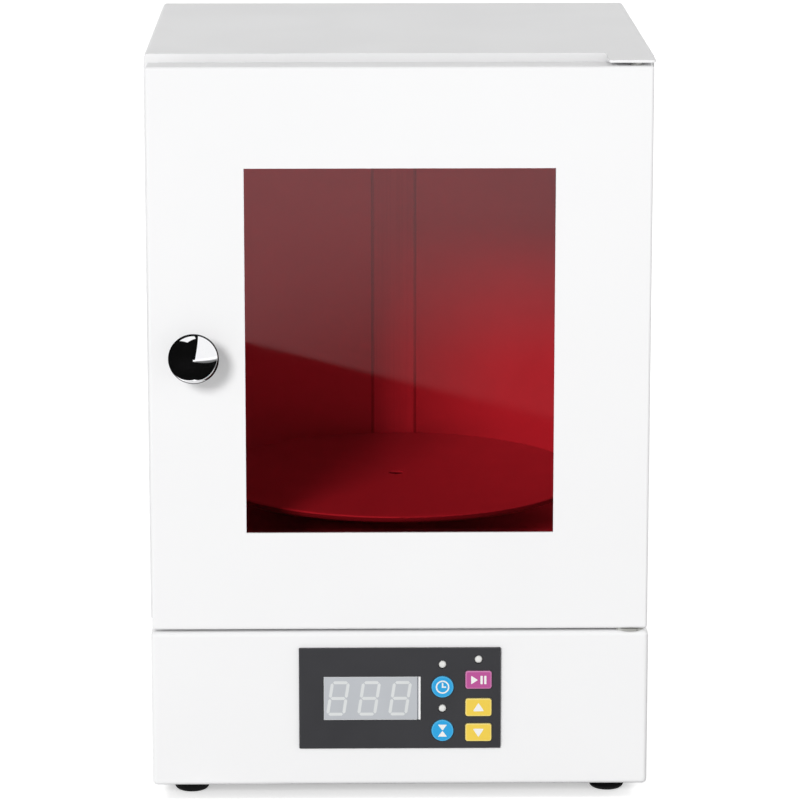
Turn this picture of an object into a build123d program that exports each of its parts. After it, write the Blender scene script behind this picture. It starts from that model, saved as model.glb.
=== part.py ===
"""Light curing unit for a dental laboratory.

A folded steel cabinet stands on a folded steel base. The cabinet's chamber holds a turntable between
three lamp channels. The door hangs on two upright pins at its right-hand edge and carries a red window.
The base holds the control panel, the driver board and the power jack.

Millimetres. X to the right, Y to the back, Z up. The origin is the middle of the footprint, knob and
louvres included, on the surface that the feet stand on. Depths are counted back from the door's front face.
"""

import math
import os

from build123d import *

# ---------------------------------------------------------------- driving dimensions
# Sheet metal
sheet = 1.2  # steel of the base, cabinet and door
bend = 2.2  # outer bend radius of the base and the shell
reflector_sheet = 0.8
fit_gap = 0.2  # clearance between sheets that slip into each other
return_width = 10.0  # edge flanges of the shell and the door

# Base and feet
base_width = 240.0
base_depth = 240.0
base_height = 76.9
bottom_return = 30.0
foot_height = 6.4
foot_radius = 8.5
foot_inset_x = 18.5
foot_inset_y = 17.0

# Door and its pivots
door_side_gap = 0.7  # between the door's edge and the base's side, seen from the front
door_height = 272.5
door_depth = 18.0
door_edge = 1.5  # bend radius round the door's front face
bend_margin = 0.01  # an edge fillet stays this far inside the corner it meets
door_gap = 1.3  # under the door
roof_gap = 1.7  # over the door
liner_sheet = 1.0
pivot_inset = 8.1  # pin axis from the door's hinge edge
pivot_depth = 6.4
pin_radius = 2.5
pin_running_gap = 0.05
bush_wall = 1.2
bush_length = 8.0
washer_radius = 6.9
washer_thickness = 1.0

# Window
window_side = 45.8  # from the door's edge to the window, left and right
window_end = 48.05  # the same above and below
pane_thickness = 3.0
pane_overlap = 7.0  # pane behind the skin, on each side
retainer_band = 8.0
retainer_lip = 1.5

# Knob
knob_radius = 12.0
knob_height = 21.0
knob_neck_radius = 5.0
knob_foot_radius = 6.6
knob_inset = 21.9  # from the door's free edge
knob_screw_radius = 2.0

# Cabinet
setback = 27.0  # shell front behind the door's front
tab_width = 21.8
mouth_side = 18.0  # from the base's side to the mouth
mouth_bottom = 29.7  # over the base's top
mouth_head = 18.8  # from the mouth up to the roof
liner_gap = 0.8  # between the mouth's collar and the reflectors
collar_depth = 12.0
rear_room = 8.5  # from the chamber's rear wall to the cabinet's back
louvre_length = 60.0
louvre_rise = 3.5
louvre_pitch = 11.0
louvre_rows = 9
louvre_offset = 48.0
louvre_top_inset = 50.0

# Seal and catch
seal_width = 6.0  # foam ring on the door's back, round the chamber's mouth
seal_gap = 0.3
strike_thickness = 1.2
strike_width = 8.0
strike_length = 46.0

# Lamp channels
channel_width = 24.0
channel_length = 200.0
diffuser_thickness = 1.3
diffuser_rim = 2.0
diffuser_side_gap = 0.8  # in the lamp slot, left and right
led_board_thickness = 1.6
led_board_width = 20.0
led_size = 5.0
led_height = 1.3
leds_per_board = 7

# Turntable
turntable_radius = 95.0
turntable_thickness = 3.0
turntable_lift = 21.0  # top face over the chamber floor
hub_radius = 25.0
hub_thickness = 4.0
hub_neck_radius = 7.0
shaft_radius = 3.5
shaft_running_gap = 0.05
floor_bush_wall = 3.0
floor_bush_rim = 4.0
motor_radius = 25.0
motor_height = 18.0
motor_offset = 10.0
motor_ear_spacing = 60.0
centre_screw_radius = 2.0

# Control panel
panel_width = 97.5
panel_height = 50.4
panel_thickness = 1.5
panel_drop = 32.9  # panel centre under the base's top
display_width = 46.8
display_height = 21.6
display_x = -13.4
display_recess = 0.4
digit_height = 17.3
digit_width = 9.2
digit_pitch = 15.0
digit_slant = 8.6  # degrees
segment_width = 1.5
key_gap = 0.3
key_proud = 0.6
key_travel = 0.4
key_flange = 0.8
round_key_radius = 5.3
square_key_width = 12.6
square_key_height = 8.8
square_key_corner = 1.2
keys_left_x = 20.6
keys_right_x = 38.0
upper_round_key_z = 5.8
lower_round_key_z = -16.1
power_key_z = 9.3
up_key_z = -4.5
down_key_z = -17.1
lamp_radius = 1.9
lamp_gap = 0.2
lamp_dome = 1.5
upper_lamp_z = 16.9
lower_lamp_z = -5.1
power_lamp_z = 19.4
control_board_width = 108.0
control_board_height = 56.0
control_board_depth = 8.0
board_thickness = 1.6
board_hole_inset = 4.0
switch_size = 6.0
switch_height = 5.0
switch_plunger_radius = 1.75

# Driver board
driver_width = 130.0
driver_length = 90.0
driver_lift = 8.0
heatsink_length = 70.0
heatsink_height = 25.0
heatsink_fins = 6

# Power jack
jack_inset = 50.0  # from the base's side
jack_z = 28.0  # over the base's bottom
jack_radius = 5.5
jack_socket_radius = 3.2
jack_length = 15.0
jack_nut_thickness = 2.5
jack_lip = 0.5  # barrel beyond its nut

# Small screws
screw_radius = 1.5
screw_hole_gap = 0.2
screw_head_radius = 2.9
screw_head_height = 1.8
screw_tail = 2.0  # beyond the last sheet that a screw goes through
head_edge = 0.4  # height of a head's straight edge over its whole height
foot_screw_radius = 2.0
foot_screw_head_radius = 3.6

# ---------------------------------------------------------------- levels and places
rear_reach = max(louvre_rise, jack_nut_thickness + jack_lip)
front_y = knob_height - (base_depth + rear_reach + knob_height) / 2

door_width = base_width - 2 * door_side_gap
base_bottom = foot_height
base_top = base_bottom + base_height
door_bottom = base_top + door_gap
door_top = door_bottom + door_height
door_middle = (door_bottom + door_top) / 2
tab_under = door_top + roof_gap
roof_top = tab_under + sheet

inner_half = base_width / 2
shell_half = inner_half + sheet
shell_back = base_depth
back_inner = shell_back - sheet
frame_front = setback + sheet
frame_back = frame_front + sheet

mouth_width = base_width - 2 * mouth_side
mouth_low = base_top + mouth_bottom
mouth_top = tab_under - mouth_head
mouth_height = mouth_top - mouth_low
mouth_middle = (mouth_low + mouth_top) / 2
floor_top = mouth_low - sheet - liner_gap
ceiling_z = mouth_top + sheet + liner_gap
side_wall_x = mouth_width / 2 + sheet + liner_gap
rear_wall_depth = base_depth - rear_room
chamber_middle_depth = (frame_back + rear_wall_depth) / 2
channel_middle = (floor_top + ceiling_z) / 2

pivot_x = door_width / 2 - pivot_inset
window_width = door_width - 2 * window_side
window_height = door_height - 2 * window_end
knob_x = knob_inset - door_width / 2
jack_x = base_width / 2 - jack_inset
turntable_top = floor_top + turntable_lift
turntable_under = turntable_top - turntable_thickness
hub_under = turntable_under - hub_thickness
motor_top = floor_top - sheet
panel_z = base_top - panel_drop

screw_hole_radius = screw_radius + screw_hole_gap
foot_x = base_width / 2 - foot_inset_x
foot_spacing_y = base_depth - 2 * foot_inset_y


def at_depth(depth):
    """Upright plane facing the front, X to the right and Z up, a depth behind the door's front face."""
    return Plane.XZ.offset(-(front_y + depth))


def y_at(depth):
    """Y of a depth behind the door's front face."""
    return front_y + depth


def level(height):
    """Level plane at a height."""
    return Plane.XY.offset(height)


middle_y = y_at(base_depth / 2)
turntable_y = y_at(chamber_middle_depth)


def screw(shank_radius, length, head_radius, head_height):
    """Pan-head screw: its head stands on the XY plane and its shank points down."""
    with BuildPart() as made:
        with BuildSketch(Plane.XZ):
            with BuildLine():
                Polyline(
                    (0, head_height),
                    (0, -length),
                    (shank_radius, -length),
                    (shank_radius, 0),
                    (head_radius, 0),
                    (head_radius, head_edge * head_height),
                )
                TangentArc(
                    (0, head_height), (head_radius, head_edge * head_height), tangent=(1, 0)
                )
            make_face()
        revolve(axis=Axis.Z)
    return made.part


def small_screw(length):
    return screw(screw_radius, length, screw_head_radius, screw_head_height)


# ---------------------------------------------------------------- places that several pieces share
foot_places = [
    (side * foot_x, middle_y + end * foot_spacing_y / 2)
    for side in (-1, 1)
    for end in (-1, 1)
]
round_keys = {
    "upper_round_key": upper_round_key_z,
    "lower_round_key": lower_round_key_z,
}
square_keys = {"power_key": power_key_z, "up_key": up_key_z, "down_key": down_key_z}
round_key_places = [(keys_left_x, panel_z + z) for z in round_keys.values()]
square_key_places = [(keys_right_x, panel_z + z) for z in square_keys.values()]
lamp_places = [
    (keys_left_x, panel_z + upper_lamp_z),
    (keys_left_x, panel_z + lower_lamp_z),
    (keys_right_x, panel_z + power_lamp_z),
]
board_hole_x = control_board_width / 2 - board_hole_inset
board_hole_z = control_board_height / 2 - board_hole_inset
board_hole_places = [
    (side * board_hole_x, panel_z + end * board_hole_z)
    for side in (-1, 1)
    for end in (-1, 1)
]
driver_hole_x = driver_width / 2 - board_hole_inset
driver_hole_y = driver_length / 2 - board_hole_inset
driver_hole_places = [
    (side * driver_hole_x, middle_y + end * driver_hole_y)
    for side in (-1, 1)
    for end in (-1, 1)
]
plate_level = base_bottom + sheet
driver_level = plate_level + sheet + driver_lift
jack_level = base_bottom + jack_z

# ---------------------------------------------------------------- base
wire_hole_radius = 8.0
wire_hole_inset = 60.0  # from the base's side
vent_length = 28.0
vent_width = 3.0
vent_pitch = 8.0
vent_count = 9
rear_vent_inset = 70.0  # from the base's side
plate_vent_count = 7

with BuildPart() as base_housing:
    with BuildSketch(level(base_bottom)):
        with Locations((0, middle_y)):
            RectangleRounded(base_width, base_depth, bend)
    extrude(amount=base_height)
    levels = base_housing.faces().filter_by(Axis.Z)
    fillet(levels.edges(), bend - bend_margin)
    with BuildSketch(level(base_bottom + sheet)):
        with Locations((0, middle_y)):
            Rectangle(base_width - 2 * sheet, base_depth - 2 * sheet)
    extrude(amount=base_height - 2 * sheet, mode=Mode.SUBTRACT)
    with BuildSketch(level(base_bottom)):
        with Locations((0, middle_y)):
            Rectangle(base_width - 2 * bottom_return, base_depth - 2 * bottom_return)
        with Locations(*foot_places):
            Circle(foot_screw_radius + screw_hole_gap)
    extrude(amount=sheet, mode=Mode.SUBTRACT)
    # front: display, keys and lamps look through the steel behind the control panel
    with BuildSketch(at_depth(0)):
        with Locations((display_x, panel_z)):
            Rectangle(display_width + 2 * fit_gap, display_height + 2 * fit_gap)
        with Locations(*round_key_places):
            Circle(round_key_radius + key_flange + key_gap)
        with Locations(*square_key_places):
            Rectangle(
                square_key_width + 2 * (key_flange + key_gap),
                square_key_height + 2 * (key_flange + key_gap),
            )
        with Locations(*lamp_places):
            Circle(lamp_radius + lamp_gap)
    extrude(amount=-sheet, mode=Mode.SUBTRACT)
    # back: power jack and vents
    with BuildSketch(at_depth(base_depth)):
        with Locations((jack_x, jack_level)):
            Circle(jack_radius + fit_gap)
        with Locations((rear_vent_inset - base_width / 2, base_bottom + base_height / 2)):
            with GridLocations(vent_pitch, 0, vent_count, 1):
                SlotOverall(vent_length, vent_width, rotation=90)
    extrude(amount=sheet, mode=Mode.SUBTRACT)
    # top: lower pivot pin and wires
    with BuildSketch(level(base_top)):
        with Locations((pivot_x, y_at(pivot_depth))):
            Circle(pin_radius + pin_running_gap)
        with Locations((wire_hole_inset - base_width / 2, middle_y)):
            Circle(wire_hole_radius)
    extrude(amount=-sheet, mode=Mode.SUBTRACT)

plate_margin = 9.0
with BuildPart() as base_plate:
    with BuildSketch(level(plate_level)):
        with Locations((0, middle_y)):
            RectangleRounded(
                2 * (foot_x + plate_margin), foot_spacing_y + 2 * plate_margin, plate_margin / 2
            )
            with GridLocations(vent_pitch, 0, plate_vent_count, 1):
                SlotOverall(vent_length, vent_width, rotation=90, mode=Mode.SUBTRACT)
        with Locations(*foot_places):
            Circle(foot_screw_radius + screw_hole_gap, mode=Mode.SUBTRACT)
    extrude(amount=sheet)

foot_round = 2.5
foot_recess = 3.8
with BuildPart() as foot:
    with BuildSketch():
        Circle(foot_radius)
    extrude(amount=foot_height)
    fillet(foot.faces().sort_by(Axis.Z)[0].edges(), foot_round)
    with BuildSketch():
        Circle(foot_screw_head_radius + fit_gap)
    extrude(amount=foot_recess, mode=Mode.SUBTRACT)
    with BuildSketch():
        Circle(foot_screw_radius + screw_hole_gap)
    extrude(amount=foot_height, mode=Mode.SUBTRACT)

with BuildPart() as feet:
    with Locations(*foot_places):
        add(foot.part)

foot_screw_head_height = 2.4
foot_screw_length = foot_height - foot_recess + 2 * sheet + screw_tail
foot_screw = screw(
    foot_screw_radius, foot_screw_length, foot_screw_head_radius, foot_screw_head_height
)
with BuildPart() as foot_screws:
    with Locations(*[Location((x, y, foot_recess), (180, 0, 0)) for x, y in foot_places]):
        add(foot_screw)

# ---------------------------------------------------------------- control panel
panel_corner = 0.6
panel_edge = 0.4
with BuildPart() as control_panel:
    with BuildSketch(at_depth(0)):
        with Locations((0, panel_z)):
            RectangleRounded(panel_width, panel_height, panel_corner)
        with Locations((display_x, panel_z)):
            Rectangle(
                display_width + 2 * fit_gap, display_height + 2 * fit_gap, mode=Mode.SUBTRACT
            )
        with Locations(*round_key_places):
            Circle(round_key_radius + key_gap, mode=Mode.SUBTRACT)
        with Locations(*square_key_places):
            RectangleRounded(
                square_key_width + 2 * key_gap,
                square_key_height + 2 * key_gap,
                square_key_corner + key_gap,
                mode=Mode.SUBTRACT,
            )
        with Locations(*lamp_places):
            Circle(lamp_radius + lamp_gap, mode=Mode.SUBTRACT)
    extrude(amount=panel_thickness)
    chamfer(control_panel.faces().sort_by(Axis.Y)[0].outer_wire().edges(), panel_edge)

display_face = display_recess - panel_thickness
groove_width = 0.6
groove_inset = 1.3
groove_depth = 0.8
digit_shift = -1.5
digit_count = 3
segment_depth = 0.6
segment_break = 0.5
digit_strokes = [
    ((-1, 1), (1, 1)),
    ((-1, 0), (1, 0)),
    ((-1, -1), (1, -1)),
    ((-1, 0), (-1, 1)),
    ((1, 0), (1, 1)),
    ((-1, -1), (-1, 0)),
    ((1, -1), (1, 0)),
]


def digit_point(digit_x, stroke_end):
    """A corner of one leaning digit, on its strokes' centre lines."""
    along = stroke_end[0] * (digit_width - segment_width) / 2
    up = stroke_end[1] * (digit_height - segment_width) / 2
    return Vector(digit_x + along + up * math.tan(math.radians(digit_slant)), panel_z + up)


def segment(start, end):
    """One lamp segment between two points: a flat bar with pointed ends."""
    run = (end - start).normalized()
    across = Vector(-run.Y, run.X) * (segment_width / 2)
    tip_start = start + run * (segment_break / 2)
    tip_end = end - run * (segment_break / 2)
    taper = run * (segment_width / 2)
    Polygon(
        tip_start,
        tip_start + taper - across,
        tip_end - taper - across,
        tip_end,
        tip_end - taper + across,
        tip_start + taper + across,
    )


with BuildSketch(at_depth(display_face)) as digits:
    for place in range(digit_count):
        digit_x = display_x + digit_shift + (place - (digit_count - 1) / 2) * digit_pitch
        for stroke in digit_strokes:
            segment(digit_point(digit_x, stroke[0]), digit_point(digit_x, stroke[1]))

with BuildPart() as display_module:
    with BuildSketch(at_depth(display_face)):
        with Locations((display_x, panel_z)):
            Rectangle(display_width, display_height)
    extrude(amount=display_face - control_board_depth)
    with BuildSketch(at_depth(display_face)):
        with Locations((display_x + display_width / 2 - groove_inset, panel_z)):
            Rectangle(groove_width, display_height)
    extrude(amount=-groove_depth, mode=Mode.SUBTRACT)
    extrude(digits.sketch, amount=-segment_depth, mode=Mode.SUBTRACT)

with BuildPart() as display_segments:
    extrude(digits.sketch, amount=-segment_depth)

lamp_reach = 0.5  # lamp domes stand this far out of the control panel
with BuildPart() as lamp:
    with BuildSketch():
        Circle(lamp_radius)
    extrude(amount=control_board_depth + panel_thickness + lamp_reach)
    fillet(lamp.faces().sort_by(Axis.Z)[-1].edges(), lamp_dome)

with BuildPart() as indicator_lamps:
    with Locations(
        *[Location((x, y_at(control_board_depth), z), (90, 0, 0)) for x, z in lamp_places]
    ):
        add(lamp.part)

# ---------------------------------------------------------------- keys and their switches
flange_thickness = 1.0
plunger_height = 1.5
stem_end = control_board_depth - switch_height - key_travel - pin_running_gap
cap_height = panel_thickness + key_proud
cap_edge = 0.3
keys = {}
for name, key_z in round_keys.items():
    with BuildPart() as key:
        with BuildSketch(at_depth(0)):
            with Locations((keys_left_x, panel_z + key_z)):
                Circle(round_key_radius)
        extrude(amount=cap_height)
        fillet(key.faces().sort_by(Axis.Y)[0].edges(), cap_edge)
        with BuildSketch(at_depth(0)):
            with Locations((keys_left_x, panel_z + key_z)):
                Circle(round_key_radius + key_flange)
        extrude(amount=-flange_thickness)
        with BuildSketch(at_depth(flange_thickness)):
            with Locations((keys_left_x, panel_z + key_z)):
                Circle(switch_plunger_radius)
        extrude(amount=flange_thickness - stem_end)
    keys[name] = key

for name, key_z in square_keys.items():
    with BuildPart() as key:
        with BuildSketch(at_depth(0)):
            with Locations((keys_right_x, panel_z + key_z)):
                RectangleRounded(square_key_width, square_key_height, square_key_corner)
        extrude(amount=cap_height)
        fillet(key.faces().sort_by(Axis.Y)[0].edges(), cap_edge)
        with BuildSketch(at_depth(0)):
            with Locations((keys_right_x, panel_z + key_z)):
                Rectangle(
                    square_key_width + 2 * key_flange, square_key_height + 2 * key_flange
                )
        extrude(amount=-flange_thickness)
        with BuildSketch(at_depth(flange_thickness)):
            with Locations((keys_right_x, panel_z + key_z)):
                Circle(switch_plunger_radius)
        extrude(amount=flange_thickness - stem_end)
    keys[name] = key

with BuildPart() as key_switches:
    with BuildSketch(at_depth(control_board_depth)):
        with Locations(*round_key_places, *square_key_places):
            Rectangle(switch_size, switch_size)
    extrude(amount=switch_height - plunger_height)
    with BuildSketch(at_depth(control_board_depth)):
        with Locations(*round_key_places, *square_key_places):
            Circle(switch_plunger_radius)
    extrude(amount=switch_height)

# ---------------------------------------------------------------- boards
with BuildPart() as control_board:
    with BuildSketch(at_depth(control_board_depth)):
        with Locations((0, panel_z)):
            Rectangle(control_board_width, control_board_height)
        with Locations(*board_hole_places):
            Circle(screw_hole_radius, mode=Mode.SUBTRACT)
    extrude(amount=-board_thickness)

standoff_radius = 3.0
standoff_bore = screw_radius + pin_running_gap
with BuildPart() as panel_standoffs:
    with BuildSketch(at_depth(sheet)):
        with Locations(*board_hole_places):
            Circle(standoff_radius)
            Circle(standoff_bore, mode=Mode.SUBTRACT)
    extrude(amount=sheet - control_board_depth)

with BuildPart() as driver_board:
    with BuildSketch(level(driver_level)):
        with Locations((0, middle_y)):
            Rectangle(driver_width, driver_length)
        with Locations(*driver_hole_places):
            Circle(screw_hole_radius, mode=Mode.SUBTRACT)
    extrude(amount=board_thickness)

with BuildPart() as driver_standoffs:
    with BuildSketch(level(plate_level + sheet)):
        with Locations(*driver_hole_places):
            Circle(standoff_radius)
            Circle(standoff_bore, mode=Mode.SUBTRACT)
    extrude(amount=driver_lift)

board_screw_bite = 4.0
board_screw = small_screw(board_thickness + board_screw_bite)
driver_top = driver_level + board_thickness
with BuildPart() as board_screws:
    with Locations(
        *[
            Location((x, y_at(control_board_depth + board_thickness), z), (-90, 0, 0))
            for x, z in board_hole_places
        ],
        *[Location((x, y, driver_top)) for x, y in driver_hole_places],
    ):
        add(board_screw)

capacitor_radius = 6.0
capacitor_height = 18.0
capacitor_pitch = 15.0
capacitor_count = 3
capacitor_edge = 1.0
capacitor_x = -26.0
driver_row = driver_length / 4  # from the board's middle to the capacitors, and to the heat sink
with BuildPart() as driver_capacitors:
    with BuildSketch(level(driver_top)):
        with Locations((capacitor_x, middle_y + driver_row)):
            with GridLocations(capacitor_pitch, 0, capacitor_count, 1):
                Circle(capacitor_radius)
    extrude(amount=capacitor_height)
    fillet(driver_capacitors.faces().group_by(Axis.Z)[-1].edges(), capacitor_edge)

fin_pitch = 5.0
fin_thickness = 1.6
with BuildPart() as driver_heatsink:
    with BuildSketch(Plane.YZ):
        with Locations((middle_y - driver_row, driver_top + fin_thickness)):
            Rectangle((heatsink_fins - 1) * fin_pitch + fin_thickness, 2 * fin_thickness)
        with Locations((middle_y - driver_row, driver_top + heatsink_height / 2)):
            with GridLocations(fin_pitch, 0, heatsink_fins, 1):
                Rectangle(fin_thickness, heatsink_height)
    extrude(amount=heatsink_length / 2, both=True)

# ---------------------------------------------------------------- power jack
jack_flange_radius = 7.0
jack_flange_thickness = 2.0
jack_socket_depth = 9.0
jack_contact_radius = 1.0
jack_contact_inset = 1.0
jack_face = base_depth + jack_nut_thickness + jack_lip
with BuildPart() as power_jack:
    with BuildSketch(at_depth(jack_face)):
        with Locations((jack_x, jack_level)):
            Circle(jack_radius)
    extrude(amount=jack_length)
    with BuildSketch(at_depth(base_depth - sheet)):
        with Locations((jack_x, jack_level)):
            Circle(jack_flange_radius)
    extrude(amount=jack_flange_thickness)
    with BuildSketch(at_depth(jack_face)):
        with Locations((jack_x, jack_level)):
            Circle(jack_socket_radius)
    extrude(amount=jack_socket_depth, mode=Mode.SUBTRACT)
    with BuildSketch(at_depth(jack_face - jack_socket_depth)):
        with Locations((jack_x, jack_level)):
            Circle(jack_contact_radius)
    extrude(amount=jack_contact_inset - jack_socket_depth)

jack_nut_radius = 8.0
with BuildPart() as power_jack_nut:
    with BuildSketch(at_depth(base_depth)):
        with Locations((jack_x, jack_level)):
            RegularPolygon(jack_nut_radius, 6)
            Circle(jack_radius + pin_running_gap, mode=Mode.SUBTRACT)
    extrude(amount=-jack_nut_thickness)

# ---------------------------------------------------------------- cabinet shell
back_plate_half = inner_half - fit_gap
back_screw_x = inner_half - return_width / 2
back_screw_rows = 3
back_screw_pitch = (tab_under - base_top - 2 * return_width) / (back_screw_rows - 1)
back_middle = (base_top + tab_under) / 2
lip_height = 10.0
tab_left = inner_half - tab_width


def inner_ring(depth):
    """Outline of the flange that runs inward from the shell's sides and roof, at a depth."""
    height = tab_under - base_top
    with BuildSketch(at_depth(depth)) as ring:
        with Locations((0, base_top + height / 2)):
            Rectangle(base_width, height)
        with Locations((0, base_top + (height - lip_height) / 2)):
            Rectangle(base_width - 2 * return_width, height - lip_height, mode=Mode.SUBTRACT)
    return ring.sketch


with BuildPart() as cabinet_shell:
    with BuildSketch(at_depth(setback)) as wrap:
        with Locations((0, (base_top + roof_top) / 2)):
            Rectangle(2 * shell_half, roof_top - base_top)
        fillet(wrap.vertices().group_by(Axis.Y)[-1], bend)
        with Locations((0, (base_top + tab_under) / 2)):
            Rectangle(2 * inner_half, tab_under - base_top, mode=Mode.SUBTRACT)
    extrude(amount=setback - shell_back)
    extrude(inner_ring(setback), amount=-sheet)
    extrude(inner_ring(back_inner - sheet), amount=-sheet)
    with BuildSketch(at_depth(back_inner)):
        with Locations((0, back_middle)):
            with GridLocations(2 * back_screw_x, back_screw_pitch, 2, back_screw_rows):
                Circle(screw_hole_radius)
    extrude(amount=sheet, mode=Mode.SUBTRACT)
    # the roof runs forward over the door's hinge corner, and the lip passes behind that welded tab
    with BuildSketch(level(tab_under)) as tab:
        with Locations((tab_left, front_y)):
            Rectangle(tab_width, setback + sheet, align=Align.MIN)
        fillet(tab.vertices().group_by(Axis.Y)[0], door_edge)
    extrude(amount=sheet)

# ---------------------------------------------------------------- cabinet back with louvres
louvre_sheet = 1.0
louvre_top = tab_under - louvre_top_inset
louvre_places = [
    Location((side * louvre_offset, y_at(shell_back), louvre_top - row * louvre_pitch))
    for side in (-1, 1)
    for row in range(louvre_rows)
]

with BuildPart() as louvre_hood:
    with BuildSketch(Plane.YZ):
        Circle(louvre_rise)
        Rectangle(2 * louvre_rise, louvre_rise, align=(Align.CENTER, Align.MAX), mode=Mode.SUBTRACT)
        Rectangle(louvre_rise, 2 * louvre_rise, align=(Align.MAX, Align.CENTER), mode=Mode.SUBTRACT)
    extrude(amount=louvre_length / 2, both=True)

with BuildPart() as louvre_hollow:
    with BuildSketch(Plane.YZ):
        Circle(louvre_rise - louvre_sheet)
        Rectangle(2 * louvre_rise, louvre_rise, align=(Align.CENTER, Align.MAX), mode=Mode.SUBTRACT)
    extrude(amount=louvre_length / 2 - louvre_sheet, both=True)

with BuildPart() as cabinet_back:
    with BuildSketch(at_depth(back_inner)):
        with Locations((0, back_middle)):
            Rectangle(2 * back_plate_half, tab_under - base_top - 2 * fit_gap)
            with GridLocations(2 * back_screw_x, back_screw_pitch, 2, back_screw_rows):
                Circle(screw_hole_radius, mode=Mode.SUBTRACT)
    extrude(amount=-sheet)
    with Locations(*louvre_places):
        add(louvre_hood.part)
    with Locations(*louvre_places):
        add(louvre_hollow.part, mode=Mode.SUBTRACT)

back_screw = small_screw(2 * sheet + screw_tail)
with BuildPart() as cabinet_screws:
    with Locations(Location((0, y_at(shell_back), back_middle), (-90, 0, 0))):
        with GridLocations(2 * back_screw_x, back_screw_pitch, 2, back_screw_rows):
            add(back_screw)

# ---------------------------------------------------------------- front frame
weld_gap = 0.2  # seam between the frame's four angle pieces
seam_length = (base_width - mouth_width) / 2
with BuildPart() as front_frame:
    with BuildSketch(at_depth(frame_front)):
        with Locations((0, back_middle)):
            Rectangle(2 * back_plate_half, tab_under - base_top)
        with Locations((0, mouth_middle)):
            Rectangle(mouth_width, mouth_height, mode=Mode.SUBTRACT)
    extrude(amount=-sheet)
    with BuildSketch(at_depth(frame_back)):
        with Locations((0, mouth_middle)):
            Rectangle(mouth_width + 2 * sheet, mouth_height + 2 * sheet)
            Rectangle(mouth_width, mouth_height, mode=Mode.SUBTRACT)
    extrude(amount=-collar_depth)
    # seams level with the mouth's top and bottom part the two uprights from the head and the sill
    with BuildSketch(at_depth(frame_front)):
        with Locations((0, mouth_middle)):
            with GridLocations(mouth_width + seam_length, mouth_height - weld_gap, 2, 2):
                Rectangle(seam_length, weld_gap)
    extrude(amount=-sheet - collar_depth, mode=Mode.SUBTRACT)

# ---------------------------------------------------------------- chamber linings
lining_bottom = base_top + sheet + fit_gap
lining_top = tab_under - fit_gap
lining_height = lining_top - lining_bottom
side_flange_x = inner_half - fit_gap
lining_depth = rear_wall_depth - frame_back
slot_length = channel_length + 2 * fit_gap
lining_side_gap = 1.0
rear_lining_half = inner_half - return_width - lining_side_gap
rear_lining_rise = 4.0  # over the ceiling
rear_lining_height = ceiling_z + rear_lining_rise - lining_bottom


def side_lining(side):
    """One side wall: a channel whose flanges point away from the chamber, with the lamp slot."""
    with BuildPart() as lining:
        with BuildSketch(level(lining_bottom)):
            with Locations((side * side_wall_x, y_at(chamber_middle_depth))):
                Rectangle(
                    side_flange_x - side_wall_x,
                    lining_depth,
                    align=(Align.MIN if side > 0 else Align.MAX, Align.CENTER),
                )
            with Locations(
                (side * (side_wall_x + reflector_sheet), y_at(chamber_middle_depth))
            ):
                Rectangle(
                    side_flange_x - side_wall_x,
                    lining_depth - 2 * reflector_sheet,
                    align=(Align.MIN if side > 0 else Align.MAX, Align.CENTER),
                    mode=Mode.SUBTRACT,
                )
        extrude(amount=lining_height)
        with BuildSketch(Plane.YZ):
            with Locations((y_at(chamber_middle_depth), channel_middle)):
                Rectangle(channel_width, slot_length)
        extrude(amount=side * inner_half, mode=Mode.SUBTRACT)
    return lining


left_reflector = side_lining(-1)
right_reflector = side_lining(1)

with BuildPart() as rear_reflector:
    with BuildSketch(level(lining_bottom)):
        with Locations((0, y_at(rear_wall_depth))):
            Rectangle(
                2 * rear_lining_half, back_inner - rear_wall_depth, align=(Align.CENTER, Align.MIN)
            )
        with Locations((0, y_at(rear_wall_depth + reflector_sheet))):
            Rectangle(
                2 * (rear_lining_half - reflector_sheet),
                back_inner - rear_wall_depth,
                align=(Align.CENTER, Align.MIN),
                mode=Mode.SUBTRACT,
            )
    extrude(amount=rear_lining_height)
    with BuildSketch(at_depth(rear_wall_depth)):
        with Locations((0, channel_middle)):
            Rectangle(channel_width, slot_length)
    extrude(amount=-reflector_sheet, mode=Mode.SUBTRACT)

ceiling_half = side_wall_x - fit_gap
with BuildPart() as ceiling_reflector:
    with BuildSketch(Plane.YZ):
        with Locations((y_at(chamber_middle_depth), ceiling_z)):
            Rectangle(lining_depth, tab_under - ceiling_z, align=(Align.CENTER, Align.MIN))
        with Locations((y_at(chamber_middle_depth), ceiling_z + reflector_sheet)):
            Rectangle(
                lining_depth - 2 * reflector_sheet,
                tab_under - ceiling_z,
                align=(Align.CENTER, Align.MIN),
                mode=Mode.SUBTRACT,
            )
    extrude(amount=ceiling_half, both=True)

floor_bush_radius = hub_neck_radius + pin_running_gap + floor_bush_wall
motor_y = turntable_y + motor_offset
motor_hole_places = [(side * motor_ear_spacing / 2, motor_y) for side in (-1, 1)]
floor_edge = 1.8
with BuildPart() as chamber_floor:
    with BuildSketch(level(base_top)):
        with Locations((0, y_at(chamber_middle_depth))):
            Rectangle(2 * ceiling_half, lining_depth - 2 * fit_gap)
    extrude(amount=floor_top - base_top)
    fillet(chamber_floor.faces().sort_by(Axis.Z)[-1].edges(), floor_edge)
    with BuildSketch(level(base_top)):
        with Locations((0, y_at(chamber_middle_depth))):
            Rectangle(2 * (ceiling_half - sheet), lining_depth - 2 * (fit_gap + sheet))
    extrude(amount=floor_top - base_top - sheet, mode=Mode.SUBTRACT)
    with BuildSketch(level(floor_top)):
        with Locations((0, turntable_y)):
            Circle(floor_bush_radius + pin_running_gap)
        with Locations(*motor_hole_places):
            Circle(screw_hole_radius)
    extrude(amount=-sheet, mode=Mode.SUBTRACT)

# ---------------------------------------------------------------- lamp channels
chip_pitch = channel_length / leds_per_board
chamber_middle_y = y_at(chamber_middle_depth)
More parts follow.
